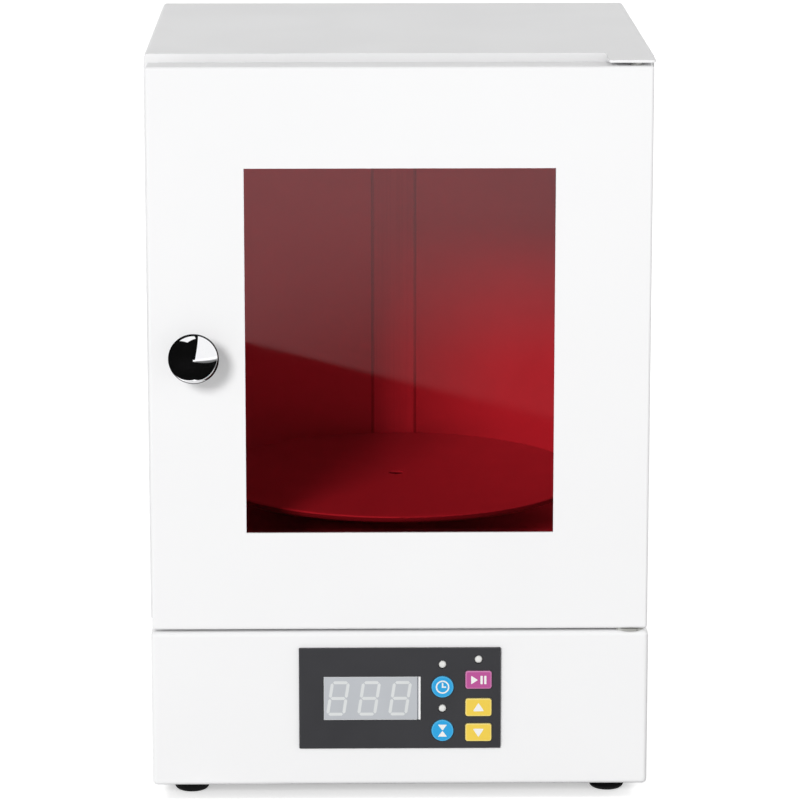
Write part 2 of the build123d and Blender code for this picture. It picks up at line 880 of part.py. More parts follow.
# each channel's plane lies on its wall and faces the chamber, and its number is the room behind that wall
channels = [
    (
        Plane((0, y_at(rear_wall_depth), channel_middle), x_dir=(1, 0, 0), z_dir=(0, -1, 0)),
        back_inner - rear_wall_depth,
    ),
    (
        Plane((-side_wall_x, chamber_middle_y, channel_middle), x_dir=(0, 1, 0), z_dir=(1, 0, 0)),
        inner_half - side_wall_x,
    ),
    (
        Plane((side_wall_x, chamber_middle_y, channel_middle), x_dir=(0, -1, 0), z_dir=(-1, 0, 0)),
        inner_half - side_wall_x,
    ),
]

diffuser_proud = diffuser_thickness - reflector_sheet
diffuser_back = 1.0
with BuildPart() as diffusers:
    for wall, _ in channels:
        with BuildSketch(wall.offset(diffuser_proud)):
            Rectangle(channel_width - 2 * diffuser_side_gap, channel_length)
        extrude(amount=-diffuser_thickness)
        with BuildSketch(wall.offset(-reflector_sheet)):
            Rectangle(channel_width + 2 * diffuser_rim, slot_length + 2 * diffuser_rim)
        extrude(amount=-diffuser_back)

with BuildPart() as led_boards:
    for wall, behind in channels:
        with BuildSketch(wall.offset(-behind)):
            Rectangle(led_board_width, channel_length)
        extrude(amount=led_board_thickness)

with BuildPart() as led_chips:
    for wall, behind in channels:
        with BuildSketch(wall.offset(led_board_thickness - behind)):
            with GridLocations(0, chip_pitch, 1, leds_per_board):
                Rectangle(led_size, led_size)
        extrude(amount=led_height)

# ---------------------------------------------------------------- turntable and its drive
ear_thickness = 1.0
ear_radius = 4.0
motor_edge = 1.0
with BuildPart() as turntable_motor:
    with BuildSketch(level(motor_top)):
        with Locations((0, motor_y)):
            SlotCenterToCenter(motor_ear_spacing, 2 * ear_radius)
            Circle(motor_radius)
        with Locations(*motor_hole_places):
            Circle(screw_radius + pin_running_gap, mode=Mode.SUBTRACT)
    extrude(amount=-ear_thickness)
    with BuildSketch(level(motor_top)):
        with Locations((0, motor_y)):
            Circle(motor_radius)
    extrude(amount=-motor_height)
    fillet(turntable_motor.faces().sort_by(Axis.Z)[0].edges(), motor_edge)
    with BuildSketch(level(motor_top)):
        with Locations((0, turntable_y)):
            Circle(shaft_radius + shaft_running_gap)
    extrude(amount=-motor_height / 2, mode=Mode.SUBTRACT)

motor_screw = small_screw(sheet + ear_thickness + screw_tail)
with BuildPart() as motor_screws:
    with Locations(*[(x, y, floor_top) for x, y in motor_hole_places]):
        add(motor_screw)

bush_rim_thickness = 1.5
bush_motor_gap = 0.3
with BuildPart() as floor_bush:
    with BuildSketch(level(motor_top + bush_motor_gap)):
        with Locations((0, turntable_y)):
            Circle(floor_bush_radius)
    extrude(amount=floor_top - motor_top - bush_motor_gap)
    with BuildSketch(level(floor_top)):
        with Locations((0, turntable_y)):
            Circle(floor_bush_radius + floor_bush_rim)
    extrude(amount=bush_rim_thickness)
    with BuildSketch(level(motor_top)):
        with Locations((0, turntable_y)):
            Circle(hub_neck_radius + pin_running_gap)
    extrude(amount=turntable_lift, mode=Mode.SUBTRACT)

shaft_end_gap = 0.3
shaft_bottom = motor_top - motor_height / 2 + shaft_end_gap
shaft_top = hub_under + hub_thickness / 2
with BuildPart() as motor_shaft:
    with BuildSketch(level(shaft_bottom)):
        with Locations((0, turntable_y)):
            Circle(shaft_radius)
    extrude(amount=shaft_top - shaft_bottom)
    with BuildSketch(level(shaft_top)):
        with Locations((0, turntable_y)):
            Circle(centre_screw_radius + pin_running_gap)
    extrude(amount=-(shaft_top - motor_top), mode=Mode.SUBTRACT)

with BuildPart() as turntable_hub:
    with BuildSketch(level(motor_top + bush_motor_gap)):
        with Locations((0, turntable_y)):
            Circle(hub_neck_radius)
    extrude(amount=turntable_under - motor_top - bush_motor_gap)
    with BuildSketch(level(hub_under)):
        with Locations((0, turntable_y)):
            Circle(hub_radius)
    extrude(amount=hub_thickness)
    with BuildSketch(level(motor_top)):
        with Locations((0, turntable_y)):
            Circle(shaft_radius + pin_running_gap)
    extrude(amount=shaft_top - motor_top, mode=Mode.SUBTRACT)
    with BuildSketch(level(motor_top)):
        with Locations((0, turntable_y)):
            Circle(centre_screw_radius + pin_running_gap)
    extrude(amount=turntable_lift + sheet, mode=Mode.SUBTRACT)

centre_head_radius = 3.6
centre_head_height = 1.4
centre_recess = 2.2
centre_screw_length = 12.0
turntable_edge = 1.2
with BuildPart() as turntable:
    with BuildSketch(level(turntable_under)):
        with Locations((0, turntable_y)):
            Circle(turntable_radius)
            Circle(centre_screw_radius + pin_running_gap, mode=Mode.SUBTRACT)
    extrude(amount=turntable_thickness)
    rims = turntable.edges().filter_by(GeomType.CIRCLE).sort_by(SortBy.RADIUS)[-2:]
    fillet(rims, turntable_edge)
    with BuildSketch(level(turntable_top)):
        with Locations((0, turntable_y)):
            Circle(centre_head_radius + fit_gap)
    extrude(amount=-centre_recess, mode=Mode.SUBTRACT)

with BuildPart() as turntable_screw:
    with Locations((0, turntable_y, turntable_top - centre_recess)):
        add(
            screw(
                centre_screw_radius, centre_screw_length, centre_head_radius, centre_head_height
            )
        )

# ---------------------------------------------------------------- door
pan_depth = door_depth - liner_sheet
skin_back = sheet
pane_width = window_width + 2 * pane_overlap
pane_height = window_height + 2 * pane_overlap
retainer_width = pane_width + 2 * (seal_gap + retainer_band)
retainer_height = pane_height + 2 * (seal_gap + retainer_band)
retainer_back = skin_back + pane_thickness + retainer_lip
stud_x = (retainer_width - retainer_band) / 2
stud_z = (retainer_height - retainer_band) / 2
stud_places = [
    (x, door_middle + z)
    for x, z in (
        (-stud_x, -stud_z),
        (0, -stud_z),
        (stud_x, -stud_z),
        (-stud_x, 0),
        (stud_x, 0),
        (-stud_x, stud_z),
        (0, stud_z),
        (stud_x, stud_z),
    )
]
nut_height = 2.4
nut_radius = 3.2
stud_tail = 1.0  # beyond the nut
stud_length = retainer_back + nut_height + stud_tail - skin_back
liner_screw_x = door_width / 2 - return_width / 2
liner_screw_rows = 4
liner_screw_inset = 30.0
liner_screw_pitch = (door_height - 2 * liner_screw_inset) / (liner_screw_rows - 1)
bush_radius = pin_radius + pin_running_gap + bush_wall
bush_rim = 1.0

with BuildPart() as door_panel:
    with BuildSketch(at_depth(0)):
        with Locations((0, door_middle)):
            RectangleRounded(door_width, door_height, door_edge)
    extrude(amount=-pan_depth)
    fillet(door_panel.faces().sort_by(Axis.Y)[0].edges(), door_edge - bend_margin)
    with BuildSketch(at_depth(skin_back)):
        with Locations((0, door_middle)):
            Rectangle(door_width - 2 * sheet, door_height - 2 * sheet)
    extrude(amount=skin_back + sheet - pan_depth, mode=Mode.SUBTRACT)
    with BuildSketch(at_depth(pan_depth - sheet)):
        with Locations((0, door_middle)):
            Rectangle(door_width - 2 * return_width, door_height - 2 * return_width)
            with GridLocations(2 * liner_screw_x, liner_screw_pitch, 2, liner_screw_rows):
                Circle(screw_hole_radius)
    extrude(amount=-sheet, mode=Mode.SUBTRACT)
    with BuildSketch(at_depth(0)):
        with Locations((0, door_middle)):
            Rectangle(window_width, window_height)
        with Locations((knob_x, door_middle)):
            Circle(knob_screw_radius + screw_hole_gap)
    extrude(amount=-skin_back, mode=Mode.SUBTRACT)
    with BuildSketch(level(door_bottom)):
        with Locations((pivot_x, y_at(pivot_depth))):
            Circle(bush_radius + pin_running_gap)
    extrude(amount=door_height, mode=Mode.SUBTRACT)
    with BuildSketch(at_depth(skin_back)):
        with Locations(*stud_places):
            Circle(screw_radius)
    extrude(amount=-stud_length)

with BuildPart() as window_pane:
    with BuildSketch(at_depth(skin_back)):
        with Locations((0, door_middle)):
            Rectangle(pane_width, pane_height)
    extrude(amount=-pane_thickness)

with BuildPart() as window_retainer:
    with BuildSketch(at_depth(skin_back)):
        with Locations((0, door_middle)):
            RectangleRounded(retainer_width, retainer_height, retainer_band / 2)
            Rectangle(
                pane_width + 2 * seal_gap, pane_height + 2 * seal_gap, mode=Mode.SUBTRACT
            )
        with Locations(*stud_places):
            Circle(screw_hole_radius, mode=Mode.SUBTRACT)
    extrude(amount=-pane_thickness)
    with BuildSketch(at_depth(skin_back + pane_thickness)):
        with Locations((0, door_middle)):
            RectangleRounded(retainer_width, retainer_height, retainer_band / 2)
            Rectangle(
                window_width + 2 * retainer_lip,
                window_height + 2 * retainer_lip,
                mode=Mode.SUBTRACT,
            )
        with Locations(*stud_places):
            Circle(screw_hole_radius, mode=Mode.SUBTRACT)
    extrude(amount=-retainer_lip)

with BuildPart() as retainer_nuts:
    with BuildSketch(at_depth(retainer_back)):
        with Locations(*stud_places):
            RegularPolygon(nut_radius, 6)
            Circle(screw_radius + pin_running_gap, mode=Mode.SUBTRACT)
    extrude(amount=-nut_height)

liner_margin = 1.0  # inside the door's outline
liner_cutout_margin = 8.0
liner_corner = 4.0
with BuildPart() as door_liner:
    with BuildSketch(at_depth(pan_depth)):
        with Locations((0, door_middle)):
            RectangleRounded(
                door_width - 2 * liner_margin, door_height - 2 * liner_margin, door_edge
            )
            RectangleRounded(
                window_width + 2 * liner_cutout_margin,
                window_height + 2 * liner_cutout_margin,
                liner_corner,
                mode=Mode.SUBTRACT,
            )
            with GridLocations(2 * liner_screw_x, liner_screw_pitch, 2, liner_screw_rows):
                Circle(screw_hole_radius, mode=Mode.SUBTRACT)
    extrude(amount=-liner_sheet)

liner_screw = small_screw(liner_sheet + sheet + screw_tail)
with BuildPart() as liner_screws:
    with Locations(Location((0, y_at(door_depth), door_middle), (-90, 0, 0))):
        with GridLocations(2 * liner_screw_x, liner_screw_pitch, 2, liner_screw_rows):
            add(liner_screw)

seal_inset = 0.6
seal_corner = 4.0
seal_width_inner = mouth_width + 2 * seal_inset
seal_height_inner = mouth_height + 2 * seal_inset
with BuildPart() as door_seal:
    with BuildSketch(at_depth(door_depth)):
        with Locations((0, mouth_middle)):
            RectangleRounded(
                seal_width_inner + 2 * seal_width, seal_height_inner + 2 * seal_width, seal_width
            )
            RectangleRounded(
                seal_width_inner, seal_height_inner, seal_corner, mode=Mode.SUBTRACT
            )
    extrude(amount=door_depth + seal_gap - frame_front)

catch_shift = 0.6  # from the flange's middle line, towards the chamber
strike_corner = 1.0
catch_x = catch_shift + return_width / 2 - inner_half
with BuildPart() as strike_plate:
    with BuildSketch(at_depth(door_depth)):
        with Locations((catch_x, door_middle)):
            RectangleRounded(strike_width, strike_length, strike_corner)
    extrude(amount=-strike_thickness)

catch_front = door_depth + strike_thickness + seal_gap
with BuildPart() as catch_magnet:
    with BuildSketch(at_depth(setback)):
        with Locations((catch_x, door_middle)):
            RectangleRounded(strike_width, strike_length, strike_corner)
    extrude(amount=setback - catch_front)

# ---------------------------------------------------------------- knob
knob_screw_bite = 10.0
knob_screw_end_gap = 1.0
knob_foot_height = 1.2
# points of the knob's profile, each as a share of its radius and of its height
knob_neck_level = 0.25
knob_flare = (0.8, 0.5)
knob_rim_level = 0.68
knob_crown = (0.86, 0.84)
knob_foot_slope = (-1, 0.6)
with BuildPart() as knob:
    with BuildSketch(Plane.XZ):
        with BuildLine():
            Line((0, 0), (knob_foot_radius, 0))
            Line((knob_foot_radius, 0), (knob_foot_radius, knob_foot_height))
            Spline(
                (knob_foot_radius, knob_foot_height),
                (knob_neck_radius, knob_neck_level * knob_height),
                (knob_flare[0] * knob_radius, knob_flare[1] * knob_height),
                (knob_radius, knob_rim_level * knob_height),
                tangents=[knob_foot_slope, (0, 1)],
            )
            Spline(
                (knob_radius, knob_rim_level * knob_height),
                (knob_crown[0] * knob_radius, knob_crown[1] * knob_height),
                (0, knob_height),
                tangents=[(0, 1), (-1, 0)],
            )
            Line((0, knob_height), (0, 0))
        make_face()
    revolve(axis=Axis.Z)
    with BuildSketch():
        Circle(knob_screw_radius + pin_running_gap)
    extrude(amount=knob_screw_bite, mode=Mode.SUBTRACT)

with BuildPart() as door_knob:
    with Locations(Location((knob_x, front_y, door_middle), (90, 0, 0))):
        add(knob.part)

knob_screw_head_radius = 3.8
knob_screw_head_height = 2.6
with BuildPart() as knob_screw:
    with Locations(Location((knob_x, y_at(skin_back), door_middle), (-90, 0, 0))):
        add(
            screw(
                knob_screw_radius,
                skin_back + knob_screw_bite - knob_screw_end_gap,
                knob_screw_head_radius,
                knob_screw_head_height,
            )
        )

# ---------------------------------------------------------------- hinge
pin_end_gap = 0.5
pin_head_radius = 4.5
pin_head_height = 2.0
bush_ends = [
    Plane((pivot_x, y_at(pivot_depth), door_bottom)),
    Plane((pivot_x, y_at(pivot_depth), door_top), x_dir=(1, 0, 0), z_dir=(0, 0, -1)),
]
with BuildPart() as hinge_bushes:
    for end in bush_ends:
        with BuildSketch(end):
            Circle(bush_radius)
            Circle(pin_radius + pin_running_gap, mode=Mode.SUBTRACT)
        extrude(amount=bush_length)
        with BuildSketch(end.offset(sheet)):
            Circle(bush_radius + bush_rim)
            Circle(bush_radius, mode=Mode.SUBTRACT)
        extrude(amount=bush_rim)

lower_pin_top = door_bottom + bush_length - pin_end_gap
with BuildPart() as lower_pivot_pin:
    with BuildSketch(level(base_top - sheet)):
        with Locations((pivot_x, y_at(pivot_depth))):
            Circle(pin_head_radius)
    extrude(amount=-pin_head_height)
    with BuildSketch(level(base_top - sheet)):
        with Locations((pivot_x, y_at(pivot_depth))):
            Circle(pin_radius)
    extrude(amount=lower_pin_top - base_top + sheet)

with BuildPart() as upper_pivot_pin:
    with BuildSketch(level(tab_under)):
        with Locations((pivot_x, y_at(pivot_depth))):
            Circle(pin_radius)
    extrude(amount=-(roof_gap + bush_length - pin_end_gap))

with BuildPart() as pivot_washer:
    with BuildSketch(level(base_top)):
        with Locations((pivot_x, y_at(pivot_depth))):
            Circle(washer_radius)
            Circle(pin_radius + pin_running_gap, mode=Mode.SUBTRACT)
    extrude(amount=washer_thickness)

# ---------------------------------------------------------------- the pieces, each in its own file
pieces = {
    "base_housing": base_housing,
    "base_plate": base_plate,
    "feet": feet,
    "foot_screws": foot_screws,
    "control_panel": control_panel,
    "display_module": display_module,
    "display_segments": display_segments,
    "indicator_lamps": indicator_lamps,
    "key_switches": key_switches,
    "control_board": control_board,
    "panel_standoffs": panel_standoffs,
    "board_screws": board_screws,
    "driver_board": driver_board,
    "driver_standoffs": driver_standoffs,
    "driver_capacitors": driver_capacitors,
    "driver_heatsink": driver_heatsink,
    "power_jack": power_jack,
    "power_jack_nut": power_jack_nut,
    "cabinet_shell": cabinet_shell,
    "cabinet_back": cabinet_back,
    "cabinet_screws": cabinet_screws,
    "front_frame": front_frame,
    "door_seal": door_seal,
    "left_reflector": left_reflector,
    "right_reflector": right_reflector,
    "rear_reflector": rear_reflector,
    "ceiling_reflector": ceiling_reflector,
    "chamber_floor": chamber_floor,
    "diffusers": diffusers,
    "led_boards": led_boards,
    "led_chips": led_chips,
    "turntable_motor": turntable_motor,
    "motor_screws": motor_screws,
    "floor_bush": floor_bush,
    "motor_shaft": motor_shaft,
    "turntable_hub": turntable_hub,
    "turntable": turntable,
    "turntable_screw": turntable_screw,
    "door_panel": door_panel,
    "door_liner": door_liner,
    "liner_screws": liner_screws,
    "window_pane": window_pane,
    "window_retainer": window_retainer,
    "retainer_nuts": retainer_nuts,
    "strike_plate": strike_plate,
    "catch_magnet": catch_magnet,
    "door_knob": door_knob,
    "knob_screw": knob_screw,
    "hinge_bushes": hinge_bushes,
    "lower_pivot_pin": lower_pivot_pin,
    "upper_pivot_pin": upper_pivot_pin,
    "pivot_washer": pivot_washer,
    **keys,
}
os.makedirs("parts", exist_ok=True)
for name, piece in pieces.items():
    piece.part.label = name
    export_step(piece.part, f"parts/{name}.step")
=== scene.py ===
"""Looks of the dental laboratory's light curing unit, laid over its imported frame.

Metres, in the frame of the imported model: X to the door's hinge side, Y to the back, Z up.
"""

import math

import bpy
import numpy as np
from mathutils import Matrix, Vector


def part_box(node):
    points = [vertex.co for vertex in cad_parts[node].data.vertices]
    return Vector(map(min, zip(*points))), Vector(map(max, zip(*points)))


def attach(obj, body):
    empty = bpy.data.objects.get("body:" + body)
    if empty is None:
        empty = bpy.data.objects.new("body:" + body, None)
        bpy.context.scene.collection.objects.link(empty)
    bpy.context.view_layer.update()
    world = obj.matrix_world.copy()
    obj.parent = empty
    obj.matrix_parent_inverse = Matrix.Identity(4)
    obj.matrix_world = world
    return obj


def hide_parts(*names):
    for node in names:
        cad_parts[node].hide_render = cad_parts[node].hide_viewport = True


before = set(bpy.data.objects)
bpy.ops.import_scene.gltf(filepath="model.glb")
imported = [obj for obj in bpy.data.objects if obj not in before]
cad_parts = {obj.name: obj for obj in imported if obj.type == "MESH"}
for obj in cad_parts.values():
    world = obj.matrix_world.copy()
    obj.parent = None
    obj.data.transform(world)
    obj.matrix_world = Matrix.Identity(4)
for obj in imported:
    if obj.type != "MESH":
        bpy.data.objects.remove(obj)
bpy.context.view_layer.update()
MM = 0.001


# ---------------------------------------------------------------- places read from the frame
def middle(node):
    """Middle of a node's box."""
    low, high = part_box(node)
    return (low + high) / 2


knob_low, knob_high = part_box("door_knob")
knob_middle = (knob_low + knob_high) / 2
knob_radius = (knob_high.x - knob_low.x) / 2
knob_height = knob_high.y - knob_low.y
door_front = knob_high.y


# ---------------------------------------------------------------- meshes
def mesh_object(name, points, faces, material):
    """Object at the origin, from points and faces."""
    mesh = bpy.data.meshes.new(name)
    mesh.from_pydata(np.asarray(points, float).tolist(), [], [list(map(int, f)) for f in faces])
    mesh.materials.append(material)
    made = bpy.data.objects.new(name, mesh)
    bpy.context.scene.collection.objects.link(made)
    return made


def piece(name, points, faces, body, slot, material, replaced=None, crease=35.0):
    """Piece of the unit, smooth except at edges sharper than the crease, in degrees. It rides on a body."""
    made = mesh_object(name, points, faces, material)
    made.data.shade_smooth()
    made.data.set_sharp_from_angle(angle=math.radians(crease))
    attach(made, body)
    if replaced:
        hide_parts(replaced)


def turned(profile, sides):
    """Surface of revolution about Z. A point is (r cos a, r sin a, z) for each (r, z) of the profile and each
    of the sides' angles a. The profile starts and ends on the axis, where one point closes each end."""
    profile = np.asarray(profile, float)
    inner = profile[1:-1]
    angle = np.arange(sides) * 2 * math.pi / sides
    across, height = inner[:, :1], np.repeat(inner[:, 1:], sides, axis=1)
    rings = np.stack([across * np.cos(angle), across * np.sin(angle), height], axis=2).reshape(-1, 3)
    ends = np.array([[0, 0, profile[0, 1]], [0, 0, profile[-1, 1]]])
    step = np.arange(sides)
    after = (step + 1) % sides
    row = np.arange(len(inner) - 1)[:, None] * sides
    quads = np.stack([row + step, row + after, row + sides + after, row + sides + step], axis=2)
    last = (len(inner) - 1) * sides
    first_fan = np.stack([after, step, np.full(sides, len(rings))], axis=1)
    last_fan = np.stack([last + step, last + after, np.full(sides, len(rings) + 1)], axis=1)
    return np.vstack([rings, ends]), [*quads.reshape(-1, 4), *first_fan, *last_fan]


def facing(points, place, front):
    """Turns points made about +Z so that +Z looks along front, and sets their origin on the place."""
    turn = Vector((0, 0, 1)).rotation_difference(Vector(front)).to_matrix()
    return np.asarray(points) @ np.array(turn).T + np.asarray(place)


def joined(parts):
    """Several (points, faces) pairs as one."""
    points, faces, start = [], [], 0
    for part_points, part_faces in parts:
        points.append(part_points)
        faces += [np.asarray(f) + start for f in part_faces]
        start += len(part_points)
    return np.vstack(points), faces


def arc(centre, radius, start, end, steps):
    """Points on a circle from one angle to another, in degrees."""
    angle = np.radians(np.linspace(start, end, steps))
    return np.stack([centre[0] + radius * np.cos(angle), centre[1] + radius * np.sin(angle)], axis=1)


def plate(outline, thickness):
    """Flat plate on the XY plane: the outline at z = 0 and again at z = thickness, joined by its rim."""
    outline = np.asarray(outline, float)
    count = len(outline)
    points = np.vstack([np.c_[outline, np.zeros(count)], np.c_[outline, np.full(count, thickness)]])
    step = np.arange(count)
    after = (step + 1) % count
    rim = np.stack([step, after, after + count, step + count], axis=1)
    return points, [step[::-1], step + count, *rim]


CORNER_STEPS = 5


def rounded(corners, radius):
    """Outline of a polygon whose corners are arcs of one radius, each with its centre on the corner's
    bisector."""
    corners = np.asarray(corners, float)
    outline = []
    for before, corner, after in zip(np.roll(corners, 1, axis=0), corners, np.roll(corners, -1, axis=0)):
        into = (corner - before) / np.linalg.norm(corner - before)
        out = (after - corner) / np.linalg.norm(after - corner)
        turn = math.atan2(into[0] * out[1] - into[1] * out[0], into @ out)
        reach = radius * math.tan(abs(turn) / 2)
        left = np.array([-into[1], into[0]]) * math.copysign(1, turn)
        centre = corner - into * reach + left * radius
        angle = math.atan2(-left[1], -left[0]) + np.linspace(0, turn, CORNER_STEPS)
        outline.append(centre + radius * np.stack([np.cos(angle), np.sin(angle)], axis=1))
    return np.vstack(outline)


# ---------------------------------------------------------------- shader nodes
def add(tree, kind, inputs=None, **settings):
    """Adds a node. The inputs map a socket to a value, or to an output that is linked to it."""
    node = tree.nodes.new(kind)
    for name, value in settings.items():
        setattr(node, name, value)
    for socket, value in (inputs or {}).items():
        if isinstance(value, bpy.types.NodeSocket):
            tree.links.new(value, node.inputs[socket])
        else:
            node.inputs[socket].default_value = value
    return node


def math_node(tree, operation, a, b=0.0):
    """Output of a Math node. Each input is a number or an output."""
    return add(tree, "ShaderNodeMath", {0: a, 1: b}, operation=operation).outputs[0]


def vector_node(tree, operation, a, b=None, output="Vector"):
    """Output of a Vector Math node, which is "Value" where the operation gives a number."""
    inputs = {0: a} if b is None else {0: a, 1: b}
    return add(tree, "ShaderNodeVectorMath", inputs, operation=operation).outputs[output]


def split(tree, vector):
    """The x, y and z outputs of a vector."""
    return add(tree, "ShaderNodeSeparateXYZ", {0: vector}).outputs


def blended(tree, factor, a, b):
    """Number a where the factor is 0, and number b where it is 1."""
    return add(tree, "ShaderNodeMix", {"Factor": factor, 2: a, 3: b}).outputs[0]


def mixed(tree, factor, a, b):
    """Colour a where the factor is 0, and colour b where it is 1."""
    return add(tree, "ShaderNodeMix", {"Factor": factor, 6: a, 7: b}, data_type="RGBA").outputs[2]


def ranged(tree, value, low, high, out_low=0.0, out_high=1.0, smooth=False):
    """Carries the range low to high over to out_low to out_high, and holds it at its ends."""
    inputs = {"Value": value, "From Min": low, "From Max": high, "To Min": out_low, "To Max": out_high}
    kind = "SMOOTHSTEP" if smooth else "LINEAR"
    return add(tree, "ShaderNodeMapRange", inputs, interpolation_type=kind).outputs[0]


FLOAT, VECTOR = "NodeSocketFloat", "NodeSocketVector"
CLOUD_SCALE = 0.02  # of the grain's scale


def new_group(name, numbers, outputs, vectors=()):
    """Empty node group. Its first input is the Vector, then come the (name, start value) pairs of the numbers
    and of the vectors. All its outputs are numbers."""
    tree = bpy.data.node_groups.new(name, "ShaderNodeTree")
    tree.interface.new_socket("Vector", in_out="INPUT", socket_type=VECTOR)
    for kind, pairs in ((FLOAT, numbers), (VECTOR, vectors)):
        for socket, start in pairs:
            made = tree.interface.new_socket(socket, in_out="INPUT", socket_type=kind)
            made.default_value = start
    for socket in outputs:
        tree.interface.new_socket(socket, in_out="OUTPUT", socket_type=FLOAT)
    return tree, tree.nodes.new("NodeGroupInput").outputs, tree.nodes.new("NodeGroupOutput").inputs


def grain_group():
    """Skin of coats, plastics, rubber and foam. Its height blends a fine noise with rounded cells, and a
    cloud that is fifty times as coarse shades it."""
    tree, given, put = new_group("grain", [("Scale", 800.0), ("Cells", 0.3)], ["Height", "Cloud"])
    fine = {"Vector": given["Vector"], "Scale": given["Scale"]}
    noise = add(tree, "ShaderNodeTexNoise", {**fine, "Detail": 2.0})
    cells = add(tree, "ShaderNodeTexVoronoi", fine, feature="SMOOTH_F1")
    coarse = math_node(tree, "MULTIPLY", given["Scale"], CLOUD_SCALE)
    cloud = add(tree, "ShaderNodeTexNoise", {"Vector": given["Vector"], "Scale": coarse, "Detail": 3.0})
    height = blended(tree, given["Cells"], noise.outputs[0], cells.outputs[0])
    tree.links.new(height, put["Height"])
    tree.links.new(cloud.outputs[0], put["Cloud"])
    return tree


def lines_group():
    """Fine straight lines along one axis, as rolled or brushed sheet has: a noise that is stretched along
    them."""
    stretch = [("Stretch", (1.0, 1.0, 0.01))]
    tree, given, put = new_group("drawn_lines", [("Scale", 2000.0)], ["Height", "Mask"], stretch)
    stretched = vector_node(tree, "MULTIPLY", given["Vector"], given["Stretch"])
    noise = add(tree, "ShaderNodeTexNoise", {"Vector": stretched, "Scale": given["Scale"], "Detail": 3.0})
    tree.links.new(noise.outputs[0], put["Height"])
    tree.links.new(ranged(tree, noise.outputs[0], 0.35, 0.65), put["Mask"])
    return tree


def wiped_group():
    """Soft wiped patches that change how rough a surface looks."""
    numbers = [("Scale", 12.0), ("Low", 0.3), ("High", 0.4)]
    tree, given, put = new_group("wiped", numbers, ["Roughness", "Mask"])
    inputs = {"Vector": given["Vector"], "Scale": given["Scale"], "Detail": 4.0, "Distortion": 1.2}
    noise = add(tree, "ShaderNodeTexNoise", inputs)
    mask = ranged(tree, noise.outputs[0], 0.3, 0.7, smooth=True)
    tree.links.new(blended(tree, mask, given["Low"], given["High"]), put["Roughness"])
    tree.links.new(mask, put["Mask"])
    return tree


def rim_group():
    """1 on a band along the rim of a rounded rectangle in the XZ plane, from the distance to its outline:
    the length of what |x| and |z| exceed the inner half sizes by, less the corner's radius. The band is no
    wider than the corner's radius."""
    numbers = [("Half Width", 0.006), ("Half Height", 0.004), ("Corner", 0.001), ("Band", 0.0006)]
    tree, given, put = new_group("printed_rim", numbers, ["Mask"])
    spot = split(tree, given["Vector"])
    squares = []
    for axis, half in (("X", "Half Width"), ("Z", "Half Height")):
        inner = math_node(tree, "SUBTRACT", given[half], given["Corner"])
        length = math_node(tree, "SUBTRACT", math_node(tree, "ABSOLUTE", spot[axis]), inner)
        over = math_node(tree, "MAXIMUM", length, 0.0)
        squares.append(math_node(tree, "MULTIPLY", over, over))
    length = math_node(tree, "SQRT", math_node(tree, "ADD", *squares))
    distance = math_node(tree, "SUBTRACT", length, given["Corner"])
    edge = math_node(tree, "MULTIPLY", given["Band"], -1.0)
    tree.links.new(ranged(tree, distance, edge, 0.0), put["Mask"])
    return tree


GRAIN, LINES, WIPED, RIM = grain_group(), lines_group(), wiped_group(), rim_group()


def use(tree, group, **inputs):
    """Places a node group and gives its outputs. Input names have spaces where the words have underscores."""
    node = add(tree, "ShaderNodeGroup", node_tree=group)
    for name, value in inputs.items():
        socket = node.inputs[name.replace("_", " ")]
        if isinstance(value, bpy.types.NodeSocket):
            tree.links.new(value, socket)
        else:
            socket.default_value = value
    return node.outputs


def new_material(name, **plain):
    """Material with one Principled shader: the material, its tree, its shader and the object coordinates. The
    plain values go to the shader's own sockets, with spaces for underscores."""
    material = bpy.data.materials.new(name)
    material.use_nodes = True
    tree = material.node_tree
    shader = tree.nodes["Principled BSDF"]
    for socket, value in plain.items():
        shader.inputs[socket.replace("_", " ")].default_value = value
    return material, tree, shader, add(tree, "ShaderNodeTexCoord").outputs["Object"]


def feed(tree, source, shader, socket):
    """Links an output to a shader's input."""
    tree.links.new(source, shader.inputs[socket])


def bump(tree, shader, height, distance, strength=1.0):
    """Gives a shader's surface a relief: its height from 0 to 1 stands for the distance."""
    node = add(tree, "ShaderNodeBump", {"Height": height, "Distance": distance, "Strength": strength})
    feed(tree, node.outputs[0], shader, "Normal")


def tone(colour, share):
    """The colour made darker or lighter by a share."""
    return (*[min(1.0, c * share) for c in colour[:3]], 1.0)


def toned(tree, mask, colour, dark, light):
    """The colour at its dark share where the mask is 0, and at its light share where it is 1."""
    return mixed(tree, mask, tone(colour, dark), tone(colour, light))


def centred(tree, place, centre):
    """Object coordinates counted from a piece's middle."""
    return vector_node(tree, "SUBTRACT", place, tuple(centre))


# ---------------------------------------------------------------- materials
def powder_coat(name, colour, roughness):
    """Baked powder coat: faint orange peel, and a sheen that changes a little from place to place."""
    material, tree, shader, place = new_material(name, Specular_IOR_Level=0.5)
    grain = use(tree, GRAIN, Vector=place, Scale=620.0, Cells=0.25)
    wiped = use(tree, WIPED, Vector=place, Scale=14.0, Low=roughness - 0.04, High=roughness + 0.04)
    feed(tree, toned(tree, grain["Cloud"], colour, 0.985, 1.01), shader, "Base Color")
    feed(tree, wiped["Roughness"], shader, "Roughness")
    bump(tree, shader, grain["Height"], 12e-6, 0.6)
    return material


